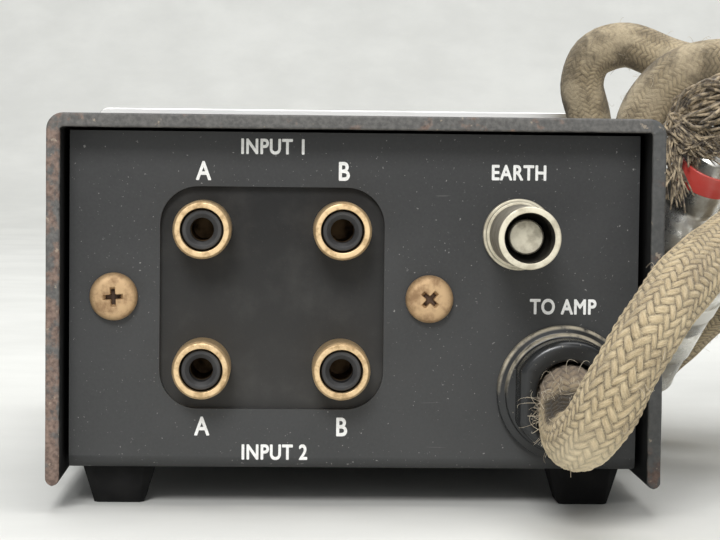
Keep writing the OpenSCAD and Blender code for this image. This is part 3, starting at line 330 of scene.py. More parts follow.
def cotton_braid():
    """Dusty beige cotton: the braid's own strands and their threads, painted shade in the gaps between the
    strands and in the creases between the threads, grime in clouds, and felt on the far part of the cord.
    Near the bush the cord is darker and greyer; painted shade lies on the inside of its first bend and
    painted light on the outside of its low loop. Colours are laid over each other by the share of each."""
    material, tree, bsdf = shader("cotton_braid", rough=0.95)
    spot = node(tree, "UVMap", uv_map="UVMap")
    u = node(tree, "SeparateXYZ", {"Vector": spot}, out=0)
    v = node(tree, "SeparateXYZ", {"Vector": spot}, out=1)

    def from_bush(start, end):
        """0 before start and 1 after end, both in millimetres of cord from the bush."""
        return ramp(tree, v, start * MM / STRAND_PITCH, end * MM / STRAND_PITCH)

    a = calc(tree, "MULTIPLY_ADD", u, float(STRANDS), v)
    b = calc(tree, "SUBTRACT", calc(tree, "MULTIPLY", u, float(STRANDS)), v)
    a_cell = calc(tree, "FLOOR", a)
    b_cell = calc(tree, "FLOOR", b)
    turn = calc(tree, "FLOORED_MODULO", calc(tree, "ADD", a_cell, b_cell), 4.0)
    a_on_top = calc(tree, "LESS_THAN", turn, 1.5)
    a_part = calc(tree, "FRACT", a)
    b_part = calc(tree, "FRACT", b)
    across = node(tree, "Mix", {0: a_on_top, 2: b_part, 3: a_part})
    other = node(tree, "Mix", {0: a_on_top, 2: a_part, 3: b_part})
    cell = node(tree, "Mix", {0: a_on_top, 2: b_cell, 3: a_cell})
    float_at = calc(tree, "MULTIPLY", calc(tree, "ADD", calc(tree, "FLOORED_MODULO", turn, 2.0), other), 0.5)
    hump = calc(tree, "SINE", calc(tree, "MULTIPLY", float_at, math.pi))
    edge = calc(tree, "POWER", calc(tree, "ABSOLUTE", calc(tree, "MULTIPLY_ADD", across, 2.0, -1.0)), 2.0)
    height = calc(tree, "MULTIPLY", calc(tree, "MULTIPLY_ADD", edge, -0.9, 1.0),
                  calc(tree, "MULTIPLY_ADD", hump, 0.65, 0.35))
    key = node(tree, "CombineXYZ", {"X": cell, "Y": a_on_top})
    tone = node(tree, "TexWhiteNoise", {"Vector": key}, noise_dimensions="2D")
    thread_x = calc(tree, "MULTIPLY_ADD", cell, 7.7, calc(tree, "MULTIPLY", across, 7.0))
    thread_y = calc(tree, "MULTIPLY", float_at, 1.6)
    lie = node(tree, "CombineXYZ", {"X": thread_x, "Y": thread_y, "Z": v})
    threads = node(tree, "TexNoise", {"Vector": lie, "Scale": 1.0, "Detail": 3.0, "Roughness": 0.65})
    grime = noise(tree, 160, 4)
    fuzz = noise(tree, 5200, 2)
    # darker where the braid lies low: painted shade in the gaps between the strands
    colour = mix(tree, ramp(tree, height, 0.06, 0.74), (0.03, 0.02, 0.01), (0.47, 0.362, 0.212))
    colour = mix(tree, calc(tree, "MULTIPLY", tone, 0.32), colour, (0.6, 0.485, 0.305))
    colour = mix(tree, ramp(tree, threads, 0.38, 0.72), colour, mix(tree, 0.5, colour, (0.84, 0.71, 0.47)))
    # painted shade in the creases between the threads
    crease_shade = calc(tree, "SUBTRACT", 0.55, ramp(tree, threads, 0.2, 0.5))
    colour = mix(tree, crease_shade, colour, (0.11, 0.078, 0.043))
    dirty = calc(tree, "MULTIPLY", ramp(tree, grime, 0.45, 0.75), 0.5)
    colour = mix(tree, dirty, colour, (0.19, 0.148, 0.098))
    fluffy = calc(tree, "MULTIPLY", ramp(tree, fuzz, 0.48, 0.7), 0.45)
    colour = mix(tree, fluffy, colour, (0.72, 0.58, 0.375))
    # the cord turns darker and greyer up to 13 mm from the bush, inside its mouth
    near_bush = calc(tree, "MULTIPLY", from_bush(13, 5.5), 0.75)
    colour = mix(tree, near_bush, colour, (0.18, 0.135, 0.105))
    facing = calc(tree, "COSINE", calc(tree, "MULTIPLY", u, 2 * math.pi))
    inside = ramp(tree, facing, 0.1, 0.75)
    bend = calc(tree, "SUBTRACT", from_bush(8, 12), from_bush(17, 22))
    shaded = calc(tree, "MULTIPLY", calc(tree, "MULTIPLY", inside, bend), 0.93)
    colour = mix(tree, shaded, colour, (0.02, 0.014, 0.009))
    # painted light: the outer side of the low loop, 12 to 32 mm from the bush, is made paler
    outside = ramp(tree, facing, 0.1, -0.7)
    low_loop = calc(tree, "SUBTRACT", from_bush(12, 18), from_bush(24, 32))
    painted_light_low_loop = calc(tree, "MULTIPLY", calc(tree, "MULTIPLY", outside, low_loop), 0.55)
    colour = mix(tree, painted_light_low_loop, colour, (0.84, 0.72, 0.5))
    far = from_bush(NEAR / MM, 3 * NEAR / MM)
    worn = ramp(tree, noise(tree, 120, 3, seed=3.7), 0.38, 0.6)
    felt = calc(tree, "MULTIPLY", far, calc(tree, "MULTIPLY_ADD", worn, 0.42, 0.44))
    blotch = ramp(tree, noise(tree, 170, 6, seed=5.5), 0.4, 0.6)
    colour = mix(tree, felt, colour, mix(tree, blotch, (0.13, 0.105, 0.07), (0.5, 0.415, 0.28)))
    tree.links.new(colour, bsdf.inputs["Base Color"])
    relief = calc(tree, "MULTIPLY_ADD", threads, 0.6, height)
    relief = calc(tree, "MULTIPLY", relief, calc(tree, "MULTIPLY_ADD", felt, -0.95, 1.0))
    bump(tree, bsdf, calc(tree, "MULTIPLY_ADD", fuzz, 0.7, relief), BRAID_DEEP)
    bsdf.inputs["Sheen Weight"].default_value = 0.08
    return material


def finish_with(piece, *materials):
    """Gives a new piece its materials, in the order of their numbers."""
    for material in materials:
        piece.data.materials.append(material)


finish_with(output_cord, cotton_braid())


def loose_threads(name, paths, thick):
    """Thin threads along paths, as tubes of four sides that grow thinner towards their tips."""
    grids = []
    for path in paths:
        a, b = carry(path, (0.31, 0.52, 0.8))
        taper = thick * np.linspace(1, 0.45, len(path))
        grids.append(path[:, None] + circles(a, b, 4) * taper[:, None, None])
    return grid_piece(name, grids, caps=True)


# stray fibres stand out all along the jacket, and thickly where it rubs in the bush's mouth
rng = np.random.default_rng(7)
FIBRES_IN_MOUTH = 170
FIBRES_ELSEWHERE = 450
near_bush = rng.uniform(6 * MM, 13 * MM, FIBRES_IN_MOUTH)
elsewhere = rng.uniform(8 * MM, cord_len - 12 * MM, FIBRES_ELSEWHERE)
fibre_paths = []
for s, near in [(s, True) for s in near_bush] + [(s, False) for s in elsewhere]:
    row = int(np.searchsorted(cord_rows, s))
    out_way = around[row, rng.integers(AROUND)]
    fwd = unit(cord_path[row + 1] - cord_path[row])
    reach = rng.uniform(0.8, 2.6 if near else 2.2) * MM
    aim = unit(out_way * rng.uniform(0.3, 0.9) + fwd * rng.normal(0, 1))
    curl = unit(rng.normal(size=3))
    t = np.linspace(0, 1, 8)[:, None]
    root = cord_path[row] + out_way * (CORD_D / 2 - 0.15 * MM)
    fibre_paths.append(root + reach * (aim * np.sin(2.2 * t) + 0.8 * curl * t**2))
cord_fuzz = loose_threads("cord_fuzz", fibre_paths, 0.035 * MM)


def thread_cotton(name, pale, dark):
    """Single cotton threads: pale and dirty stretches, with a soft sheen."""
    material, tree, bsdf = shader(name, rough=0.9)
    patchy = ramp(tree, noise(tree, 900, 3), 0.35, 0.65)
    tree.links.new(mix(tree, patchy, dark, pale), bsdf.inputs["Base Color"])
    bump(tree, bsdf, noise(tree, 9000, 2), 0.05 * MM, 0.6)
    bsdf.inputs["Sheen Weight"].default_value = 0.3
    return material


loose_fibre = thread_cotton("loose_fibre", (0.737, 0.65, 0.4905), (0.3745, 0.302, 0.215))
finish_with(cord_fuzz, loose_fibre)

# Coil tie: a thin twisted string round all turns of the coil, on the side away from the case.
# It is pulled tight, so it runs straight between the outer turns and bends round them.
STRING_D = 2 * MM
STRING_GAP = 0.3 * MM
on_turns = coil_points(COIL_START / (2 * math.pi) + np.arange(COIL_TURNS))
tie_a = unit(on_turns[-1] - on_turns[0])
tie_b = np.cross(coil_e2, tie_a)
tie_r = CORD_D / 2 + STRING_GAP + STRING_D / 2
half = np.linspace(-math.pi / 2, math.pi / 2, 25)
bends = [on_turns[end] + tie_r * (np.outer(np.cos(a), tie_a) + np.outer(np.sin(a), tie_b))
         for end, a in ((-1, half), (0, half + math.pi))]
corner = np.vstack(bends + [bends[0][:1]])
tie_len = along(corner)[-1]
TIE_ROWS = 400
TIE_AROUND = 20
tie_s = np.linspace(0, tie_len, TIE_ROWS, endpoint=False)
tie_path = resample(corner, tie_s)
tie_fwd = np.roll(tie_path, -1, axis=0) - np.roll(tie_path, 1, axis=0)
tie_side = np.cross(tie_fwd / np.linalg.norm(tie_fwd, axis=1)[:, None], coil_e2)
TWISTS = 30
ply = 2 * math.pi * TWISTS * tie_s / tie_len
tie_round = STRING_D / 2 * (0.88 + 0.12 * np.abs(np.cos(full_turn(TIE_AROUND) - ply[:, None])))
tie_ring = circles(np.broadcast_to(coil_e2, tie_side.shape), tie_side, TIE_AROUND)
tie_grid = tie_path[:, None] + tie_round[:, :, None] * tie_ring
coil_tie = grid_piece("coil_tie_string", tie_grid, loop=True)
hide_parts("coil_tie")
tie_cotton = thread_cotton("tie_cotton", (0.302, 0.273, 0.2295), (0.128, 0.1135, 0.0917))
finish_with(coil_tie, tie_cotton)

# Splitter: a moulded black cap at the jacket's end, where the two thin leads part. The jacket is
# frayed there, and a tuft of its dirty threads hangs along the leads.


def moulded(name, colour, dust, rough, dusty, gloss=0.5, paler_below=None):
    """Moulded plastic or rubber: fine grain, duller patches, and dust in clouds. Given two heights, the
    colour turns towards the dust colour from the first height to the second."""
    material, tree, bsdf = shader(name, rough=rough)
    cloud = noise(tree, 210, 5, seed=3.1)
    speck = noise(tree, 3600, 2)
    bsdf.inputs["Specular IOR Level"].default_value = gloss
    share = calc(tree, "MULTIPLY", ramp(tree, cloud, 0.4, 0.8), dusty)
    share = calc(tree, "ADD", share, calc(tree, "MULTIPLY", ramp(tree, speck, 0.66, 0.74), dusty))
    if paler_below:
        share = calc(tree, "MULTIPLY_ADD", ramp(tree, place(tree, 2), *paler_below), 0.2, share)
    tree.links.new(mix(tree, share, colour, dust), bsdf.inputs["Base Color"])
    tree.links.new(calc(tree, "MULTIPLY_ADD", share, 0.5, rough), bsdf.inputs["Roughness"])
    bump(tree, bsdf, noise(tree, 2600, 3), 0.02 * MM, 0.5)
    return material


def dress(names, material, edge=0.0):
    """Gives CAD nodes a material and, where edge is set, rounds their edges."""
    for name in names:
        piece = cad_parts[name]
        piece.data.materials.clear()
        piece.data.materials.append(material)
        if edge:
            piece.modifiers.new("weld", "WELD").merge_threshold = 0.01 * MM
            flat = piece.modifiers.new("flat", "DECIMATE")
            flat.decimate_type = "DISSOLVE"
            flat.angle_limit = math.radians(0.5)
            bevel = piece.modifiers.new("bevel", "BEVEL")
            bevel.width = edge
            bevel.segments = 3
            bevel.limit_method = "ANGLE"
            bevel.angle_limit = math.radians(40)
            bevel.harden_normals = True


split_black = moulded("split_black", (0.0294, 0.0294, 0.0308), (0.302, 0.273, 0.2295), 0.45, 0.25)
dress(["cord_splitter"], split_black, 0.6 * MM)
SPLIT_FLOOR = 2.4 * MM
TUFT_THREADS = 330
split_end = cord_line[-1] + coil_t1 * SPLIT_FLOOR
rng = np.random.default_rng(19)
tuft_paths = []
for k in range(TUFT_THREADS):
    start = split_end + rng.normal(0, 1.1, 3) * MM - coil_t1 * 2 * MM
    middle = from_rear((66, 38.5, 61)) + rng.normal(0, 1.4, 3) * MM
    knee = from_rear((58.8, 40.2, 60.4)) + rng.normal(0, 1.9, 3) * MM
    if k % 9:
        ends = [(54, 41.4, 57.6), (55.2, 40.4, 54.8), (58, 39.8, 53.6)]
    else:
        ends = [(53.8, 41.8, 57.6), (52.3, 41.2, 52.4), (52.5, 40.6, 46)]
    loose = [from_rear(e) + rng.normal(0, 0.9 + 0.25 * i, 3) * (1, 0.7, 1) * MM
             for i, e in enumerate(ends)]
    tuft_paths.append(spline([start, middle, knee] + loose, 5))
frayed_end = loose_threads("frayed_jacket_end", tuft_paths, 0.36 * MM)
frayed_cotton = thread_cotton("frayed_cotton", (0.505, 0.4035, 0.2657), (0.0845, 0.0657, 0.0483))
finish_with(frayed_end, frayed_cotton)

# Thin leads and plugs: one screened lead for each channel, sheathed in grey plastic, with a plated
# phono plug. The plug's shell is turned, screwed together, and the right one has a red sleeve.
LEAD_D = 4.2 * MM
lead_side = unit(np.array([0, 1, 0]) - coil_t1 * coil_t1[1])


def turned(outline, origin, axis, count=72):
    """Grid of a turned piece: (height, radius) pairs in millimetres, swung round an axis. Each point is
    the origin plus the height along the axis plus the radius along a circle that starts at the top."""
    axis = unit(axis)
    a = unit(np.array([0, 0, 1]) - axis * axis[2])
    ring = circles(a[None], np.cross(axis, a)[None], count)
    p = np.asarray(outline)[:, None] * MM
    return np.asarray(origin) + p[:, :, :1] * axis + p[:, :, 1:] * ring


def filleted(corners, steps=5):
    """Closed outline of (height, radius, fillet) corners, in millimetres. Each corner becomes an arc
    about the point on its bisector that lies one fillet from both sides."""
    points = []
    for k, (h, r, f) in enumerate(corners):
        here = np.array([h, r])
        back = np.array(corners[k - 1][:2]) - here
        ahead_way = np.array(corners[(k + 1) % len(corners)][:2]) - here
        back, ahead_way = unit(back), unit(ahead_way)
        half_angle = math.acos(float(np.clip(back @ ahead_way, -1, 1))) / 2
        if f == 0 or half_angle > 1.5:
            points.append(here)
            continue
        tangent_at = f / math.tan(half_angle)
        middle = here + unit(back + ahead_way) * f / math.sin(half_angle)
        from_way = here + back * tangent_at - middle
        to_way = here + ahead_way * tangent_at - middle
        for t in np.linspace(0, 1, steps + 1):
            points.append(middle + f * unit(from_way * (1 - t) + to_way * t))
    return np.array(points)


def plated(name, colour, dull, rough, stretch=(1, 1, 1), scale=1400, metal=1.0, spread=330, patchy=0.25):
    """Worn metal: fine turned or brushed grain, tarnish in clouds, and roughness that follows both."""
    material, tree, bsdf = shader(name, metal=metal)
    cloud = noise(tree, spread, 5, seed=1.7)
    grain = noise(tree, scale, 3, stretch)
    share = ramp(tree, cloud, 0.4, 0.72)
    tree.links.new(mix(tree, share, colour, dull), bsdf.inputs["Base Color"])
    worn = calc(tree, "MULTIPLY_ADD", share, patchy, rough - 0.08)
    tree.links.new(calc(tree, "MULTIPLY_ADD", grain, 0.16, worn), bsdf.inputs["Roughness"])
    bump(tree, bsdf, grain, 0.02 * MM, 0.4)
    return material


def tube(path, radius, count):
    """Grid of a round tube along a path: a circle about each point, across the path."""
    a, b = carry(path, (0.3, 0.7, 0.65))
    return path[:, None] + radius * circles(a, b, count)


lead_grey = moulded("lead_grey", (0.1207, 0.1207, 0.1251), (0.3745, 0.3455, 0.302), 0.5, 0.25)
plug_nickel = plated("plug_metal", (0.76, 0.75, 0.71), (0.5, 0.465, 0.4), 0.26)
red_sleeve = moulded("plug_red", (0.66, 0.075, 0.06), (0.6, 0.29, 0.24), 0.3, 0.35)
white_sleeve = moulded("plug_white", (0.76, 0.74, 0.68), (0.5, 0.45, 0.36), 0.35, 0.25)
LEAD_APART = 2.6 * MM
PLUG_L = 20
PLUG_R = 5
COLLAR_L = 8
COLLAR_R = 4.7
COLLAR_BORE_R = 4.2
CABLE_HOLE_R = 2.3
SLEEVE_R = 5.25
mouth_at = PLUG_L + COLLAR_L
plug_outline = filleted([
    (0, CABLE_HOLE_R, 0), (0, 3.6, 0.4), (1.6, PLUG_R, 0.5), (11, PLUG_R, 0), (11.3, 4.6, 0),
    (12.2, 4.6, 0), (12.5, PLUG_R, 0), (PLUG_L - 1, PLUG_R, 0.3), (PLUG_L - 0.6, COLLAR_R, 0),
    (mouth_at - 1, COLLAR_R, 0), (mouth_at, 4.95, 0.2), (mouth_at, COLLAR_BORE_R, 0.1),
    (PLUG_L, COLLAR_BORE_R, 0), (PLUG_L, CABLE_HOLE_R, 0)])
sleeve_outline = filleted([(3.6, 4.6, 0), (3.6, SLEEVE_R, 0.2), (7.3, SLEEVE_R, 0.2), (7.3, 4.6, 0)])
for side, sign, plug_spot, plug_way, over, sleeve in (
        ("right", 1, (60.2, 43, 53.8), (-0.3, 0.48, -0.825), (66.2, 38.6, 69.4), red_sleeve),
        ("left", -1, (56.2, 36, 33.2), (-0.17, 0.76, -0.63), (64.4, 29.4, 49), white_sleeve)):
    plug_at, plug_dir, via = from_rear(plug_spot), unit(plug_way), from_rear(over)
    start = split_end + lead_side * sign * LEAD_APART
    before_plug = plug_at - plug_dir * 9 * MM
    lead_line = spline([start, start + coil_t1 * 4 * MM, via, before_plug, plug_at], 24)
    lead = grid_piece(side + "_lead_sheath", tube(lead_line, LEAD_D / 2, 20), caps=True)
    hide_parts(side + "_lead")
    finish_with(lead, lead_grey)
    plug_grid = turned(plug_outline, plug_at, plug_dir)
    shell = grid_piece(side + "_plug_body", plug_grid, loop=True)
    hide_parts(side + "_plug_shell")
    finish_with(shell, plug_nickel)
    sleeve_grid = turned(sleeve_outline, plug_at, plug_dir)
    band = grid_piece(side + "_plug_sleeve", sleeve_grid, loop=True)
    finish_with(band, sleeve)
dress(["left_plug_pin", "right_plug_pin"], plug_nickel)

# Cover: one bent steel sheet, a flat top and two sides, finished in dark grey and open below and at
# both ends. Its cut edges have lost their paint and are brown with rust, most of all on the left.
COVER_T = 2 * MM
COVER_R = 2.4 * MM
EDGE_R = 0.35 * MM
cover_lo, cover_hi = (np.array(c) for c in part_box("cover"))
mid_x = cover_hi[0] - COVER_T / 2
mid_top = cover_hi[2] - COVER_T / 2
bend_r = COVER_R - COVER_T / 2
low_z = cover_lo[2] + COVER_T / 2
FLAT_ROWS = 40
bend_turn = np.linspace(0, math.pi / 2, 9)[1:]
bend_path = np.stack([mid_x - bend_r + bend_r * np.cos(bend_turn),
                      mid_top - bend_r + bend_r * np.sin(bend_turn)], axis=1)
side_path = np.linspace((mid_x, low_z), (mid_x, mid_top - bend_r), FLAT_ROWS)
top_path = np.linspace((mid_x - bend_r, mid_top), (0, mid_top), FLAT_ROWS)[1:]
right_half = np.vstack([side_path, bend_path, top_path])
mid_path = np.vstack([right_half, (right_half * [-1, 1])[-2::-1]])
sheet_way = np.gradient(mid_path, axis=0)
sheet_way /= np.linalg.norm(sheet_way, axis=1)[:, None]
sheet_out = np.stack([sheet_way[:, 1], -sheet_way[:, 0]], axis=1)
tip = np.linspace(math.pi / 2 - 0.05, 0, 7)[:-1]
tips = np.stack([np.sin(tip), np.cos(tip)], axis=1) * COVER_T / 2
first = mid_path[0] - sheet_way[0] * tips[:, :1]
last = mid_path[-1] + sheet_way[-1] * tips[::-1, :1]
rows_at = np.vstack([first, mid_path, last])
rows_out = np.pad(sheet_out, ((len(tip), len(tip)), (0, 0)), mode="edge")
half_t = np.concatenate([tips[:, 1], np.full(len(mid_path), COVER_T / 2), tips[::-1, 1]])[:, None]
# each row is a loop through the sheet's thickness with a rounded, slightly nicked rear edge
arc = np.linspace(0, math.pi / 2, 5)
c = np.minimum(EDGE_R, half_t * 0.9)
k = np.arange(len(rows_at))[:, None]
nick = 0.05 * MM * (np.sin(k * 2.1) + np.sin(k * 0.73 + 1) + np.sin(k * 5.7))
cut_y, front_y = cover_lo[1] + 0.1 * MM + nick, cover_hi[1]
loop_n = np.hstack([half_t - c + c * np.sin(arc), half_t - c + c * np.cos(arc),
                    -half_t + c - c * np.sin(arc), -half_t + c - c * np.cos(arc)])
loop_y = np.hstack([cut_y + c - c * np.cos(arc), front_y - c + c * np.sin(arc),
                    front_y - c + c * np.cos(arc), cut_y + c - c * np.sin(arc)])
line = rows_at[:, None] + loop_n[:, :, None] * rows_out[:, None]
cover_grid = np.stack([line[:, :, 0], loop_y, line[:, :, 1]], axis=-1)
cover = grid_piece("cover_sheet", cover_grid, caps=True)


def even_shading(piece):
    """Shades a piece by its large faces, so that flat sides stay flat beside rounded edges."""
    piece.modifiers.new("even", "WEIGHTED_NORMAL")


even_shading(cover)
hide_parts("cover")


def cover_paint():
    """Dark grey enamel with scuffs, near black inside as painted shade; grey steel and brown rust on the cut
    edge.
    """
    material, tree, bsdf = shader("cover_paint", rough=0.5)
    from_edge = calc(tree, "SUBTRACT", place(tree, 1), float(cover_lo[1]))
    ragged = calc(tree, "MULTIPLY_ADD", noise(tree, 700, 4), 0.9 * MM, -0.25 * MM)
    edge = ramp(tree, calc(tree, "SUBTRACT", from_edge, ragged), 0.32 * MM, 0.1 * MM)
    left = ramp(tree, place(tree, 0), -41.5 * MM, -42.5 * MM)
    low = ramp(tree, place(tree, 2), 13 * MM, 7 * MM)
    rusty = calc(tree, "MULTIPLY_ADD", left, 0.17, noise(tree, 420, 5, seed=2.3))
    rusty = ramp(tree, calc(tree, "MULTIPLY_ADD", low, 0.12, rusty), 0.58, 0.72)
    fine = noise(tree, 1500, 5)
    grain = ramp(tree, fine, 0.3, 0.7)
    bare = mix(tree, grain, (0.072, 0.07, 0.067), (0.133, 0.128, 0.12))
    rust = mix(tree, grain, (0.099, 0.0657, 0.0526), (0.2368, 0.1643, 0.128))
    cloud = ramp(tree, noise(tree, 130, 5), 0.45, 0.8)
    paint = mix(tree, cloud, (0.0515, 0.0515, 0.053), (0.07, 0.0695, 0.068))
    scuff = ramp(tree, noise(tree, 900, 4, (0.05, 1, 1), 5.2), 0.7, 0.78)
    paint = mix(tree, calc(tree, "MULTIPLY", scuff, 0.25), paint, (0.244, 0.2295, 0.215))
    # inside the sheet the paint turns near black: painted shade inside the cover
    from_middle = calc(tree, "ABSOLUTE", place(tree, 0))
    within = ramp(tree, from_middle, float(mid_x) + 0.2 * MM, float(mid_x) - 0.2 * MM)
    under = ramp(tree, place(tree, 2), float(mid_top) + 0.2 * MM, float(mid_top) - 0.2 * MM)
    paint = mix(tree, calc(tree, "MULTIPLY", within, under), paint, (0.005, 0.005, 0.005))
    right = calc(tree, "MULTIPLY", ramp(tree, place(tree, 0), 41.5 * MM, 42.5 * MM), 0.6)
    bare = mix(tree, right, bare, (0.045, 0.049, 0.05))
    rust = mix(tree, right, rust, (0.055, 0.029, 0.022))
    worn = mix(tree, rusty, bare, rust)
    chip = ramp(tree, noise(tree, 650, 3, seed=7.7), 0.64, 0.7)
    worn = mix(tree, calc(tree, "MULTIPLY", chip, 0.6), worn, (0.389, 0.3237, 0.244))
    tree.links.new(mix(tree, edge, paint, worn), bsdf.inputs["Base Color"])
    tree.links.new(calc(tree, "MULTIPLY_ADD", edge, 0.2, 0.45), bsdf.inputs["Roughness"])
    bump(tree, bsdf, calc(tree, "ADD", fine, calc(tree, "MULTIPLY", rusty, 0.7)), 0.03 * MM, 0.35)
    return material


finish_with(cover, cover_paint())

# Chassis: one folded steel sheet, painted matt black. Its rear panel has the jacks' window and the
# holes for the post and the bush, and dust and hairline scratches show on it.


def chassis_paint(name, colour, worn, specks):
    """Matt black paint: an even film with faint wear, pale specks of dust and hairline scratches."""
    material, tree, bsdf = shader(name, rough=0.62)
    cloud = noise(tree, 90, 5)
    paint = mix(tree, ramp(tree, cloud, 0.35, 0.75), colour, worn)
    # paler grey towards the bottom of the panel
    paler_below = calc(tree, "MULTIPLY", ramp(tree, place(tree, 2), 50 * MM, 5 * MM), 0.35)
    film = calc(tree, "MULTIPLY_ADD", noise(tree, 2400, 3, seed=6.1), 1.2, -0.45)
    dull = calc(tree, "MULTIPLY_ADD", film, 0.4, paler_below)
    paint = mix(tree, dull, paint, (0.058, 0.0595, 0.058))
    dust = ramp(tree, noise(tree, 1500, 2, seed=4.4), 0.67, 0.75)
    dust = calc(tree, "MAXIMUM", dust, ramp(tree, noise(tree, 3300, 1, seed=9.4), 0.765, 0.81))
    dust = calc(tree, "MULTIPLY", dust, specks)
    hair = ramp(tree, noise(tree, 340, 2, (0.16, 1, 3.5), 8.8), 0.735, 0.75)
    fleck = calc(tree, "MULTIPLY_ADD", hair, 0.22 * specks, dust)
    tree.links.new(mix(tree, fleck, paint, (0.534, 0.5195, 0.4905)), bsdf.inputs["Base Color"])
    tree.links.new(calc(tree, "MULTIPLY_ADD", cloud, 0.2, 0.5), bsdf.inputs["Roughness"])
    bump(tree, bsdf, noise(tree, 2900, 3), 0.02 * MM, 0.4)
    return material


matt_black = chassis_paint("chassis_paint", (0.024, 0.0247, 0.0252), (0.035, 0.0357, 0.0362), 0.4)
dress(["chassis"], matt_black, 0.25 * MM)

# Lettering: plain words and letters beside the connections, screen printed in white ink on the rear
# panel's paint. The ink is thin, and slightly worn in patches.
NOSE_H = 7 * MM
CAPITAL_SHARE = 0.69
BOLD_COPIES = 6
INK_T = 0.02 * MM
panel_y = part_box("cord_bush")[0][1] + NOSE_H


def lettering(name, text, x, z, height, y, facing, weight, stretch=0.82):
    """Flat printed text as a thin mesh, facing the rear (-1) or the front (1). Its strokes are made bold
    by copies, each moved by the weight in its own direction and a hair above the one before."""
    curve = bpy.data.curves.new(name, "FONT")
    curve.body = text
    curve.align_x = "CENTER"
    curve.align_y = "CENTER"
    curve.size = height / CAPITAL_SHARE
    curve.extrude = INK_T
    curve.space_character = 1.08
    source = bpy.data.objects.new(name, curve)
    bpy.context.collection.objects.link(source)
    bpy.context.view_layer.update()
    thin = bpy.data.meshes.new_from_object(source.evaluated_get(bpy.context.evaluated_depsgraph_get()))
    bpy.data.objects.remove(source)
    points = np.empty(3 * len(thin.vertices))
    thin.vertices.foreach_get("co", points)
    copies = np.arange(BOLD_COPIES)
    way = full_turn(BOLD_COPIES)
    moves = np.stack([weight * np.cos(way), weight * np.sin(way), 0.003 * MM * copies], axis=1)
    bold = (points.reshape(-1, 3)[None] + moves[:, None]).reshape(-1, 3)
    polygons = [[k * len(thin.vertices) + v for v in p.vertices]
                for k in copies.tolist() for p in thin.polygons]
    bpy.data.meshes.remove(thin)
    mesh = bpy.data.meshes.new(name)
    mesh.from_pydata(bold.tolist(), [], polygons)
    turn = Matrix.Rotation(math.pi / 2, 4, "X")
    if facing > 0:
        turn = Matrix.Rotation(math.pi, 4, "Z") @ turn
    put_at = Matrix.Translation((x, y + facing * 0.03 * MM, z))
    mesh.transform(put_at @ turn @ Matrix.Diagonal((stretch, 1, 1, 1)))
    piece = bpy.data.objects.new(name, mesh)
    bpy.context.collection.objects.link(piece)
    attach(piece, "case")
    return piece


def printed(name, fresh, worn):
    """Printing ink: an even colour with worn patches."""
    material, tree, bsdf = shader(name, rough=0.6)
    patchy = ramp(tree, noise(tree, 1900, 3), 0.3, 0.75)
    tree.links.new(mix(tree, patchy, fresh, worn), bsdf.inputs["Base Color"])
    return material


white_ink = printed("printed_white", (0.92, 0.92, 0.9), (0.78, 0.77, 0.74))
for name, text, x, z, height in (
        ("mark_input_one", "INPUT 1", -11.9, 52.4, 2.1), ("mark_input_two", "INPUT 2", -11.5, 8.1, 2.1),
        ("mark_one_a", "A", -22, 48.8, 2.6), ("mark_one_b", "B", -1.8, 48.9, 2.6),
        ("mark_two_a", "A", -22, 11.8, 2.6), ("mark_two_b", "B", -1.8, 11.8, 2.6),
        ("mark_earth", "EARTH", 23.6, 49, 2.1), ("mark_amplifier", "TO AMP", 30.3, 29.6, 2.1)):
    mark = lettering(name, text, x * MM, z * MM, height * MM, panel_y, -1, 0.095 * MM)
    finish_with(mark, white_ink)

# Jack board: a plate of black laminate behind the panel's rounded window, held by two screws and
# nuts. Dust lies on it. It grows paler towards the lower edge: more dust there, and painted shade
# under the window's upper edge.
# paler towards its lower edge: more dust there, and painted shade under the window's upper edge
board_black = moulded("board_black", (0.011, 0.011, 0.011), (0.15, 0.147, 0.138), 0.62, 0.12, gloss=0.3,
                      paler_below=(50 * MM, 12 * MM))
dress(["jack_board"], board_black, 0.15 * MM)

# Jacks: each shell is a brass tube turned from bar, threaded behind the board and held by a nut. Its
# rim is rounded and its bore is bright; a moulded insulator with a bevelled pin hole sits inside.
JACK_R = 4.15
JACK_L = 7.2
JACK_BORE_R = 3.1
THREAD_R = 3.7
PIN_HOLE_R = 1.7
jack_brass = plated("jack_brass", (0.8, 0.59, 0.34), (0.48, 0.335, 0.18), 0.42, metal=0.78, spread=800)
insulator_black = moulded("black_plastic", (0.023, 0.023, 0.024), (0.12, 0.117, 0.112), 0.45, 0.3)
BACK = np.array([0, -1, 0])
insulator_grids = []
for name in ("jack_shell_1_left", "jack_shell_1_right", "jack_shell_2_left", "jack_shell_2_right"):
    lo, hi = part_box(name)
    rim = np.array([(lo[0] + hi[0]) / 2, lo[1], (lo[2] + hi[2]) / 2])
    deep = (hi[1] - lo[1]) / MM
    shell_outline = filleted([
        (0, JACK_BORE_R, 0.12), (0, 3.85, 0.18), (-0.5, JACK_R, 0.3), (-JACK_L, JACK_R, 0.1),
        (-JACK_L, THREAD_R, 0), (-deep, THREAD_R, 0.2), (-deep, JACK_BORE_R, 0)])
    shell = grid_piece(name + "_turned", turned(shell_outline, rim, BACK), loop=True)
    even_shading(shell)
    finish_with(shell, jack_brass)
    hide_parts(name)
    insulator_grids.append(turned(filleted([
        (-1.3, PIN_HOLE_R, 0.1), (-0.8, 2.3, 0.15), (-0.8, 2.82, 0.12), (-1.6, 2.86, 0),
        (-1.7, JACK_BORE_R, 0), (-deep, JACK_BORE_R, 0), (-deep, PIN_HOLE_R, 0)]), rim, BACK))
insulators = grid_piece("jack_insulator_rings", insulator_grids, loop=True)
even_shading(insulators)
finish_with(insulators, insulator_black)
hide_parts("jack_insulators")
tinned = plated("tinned_tag", (0.78, 0.77, 0.74), (0.55, 0.53, 0.48), 0.34)
dress(["jack_ground_tags"], tinned)
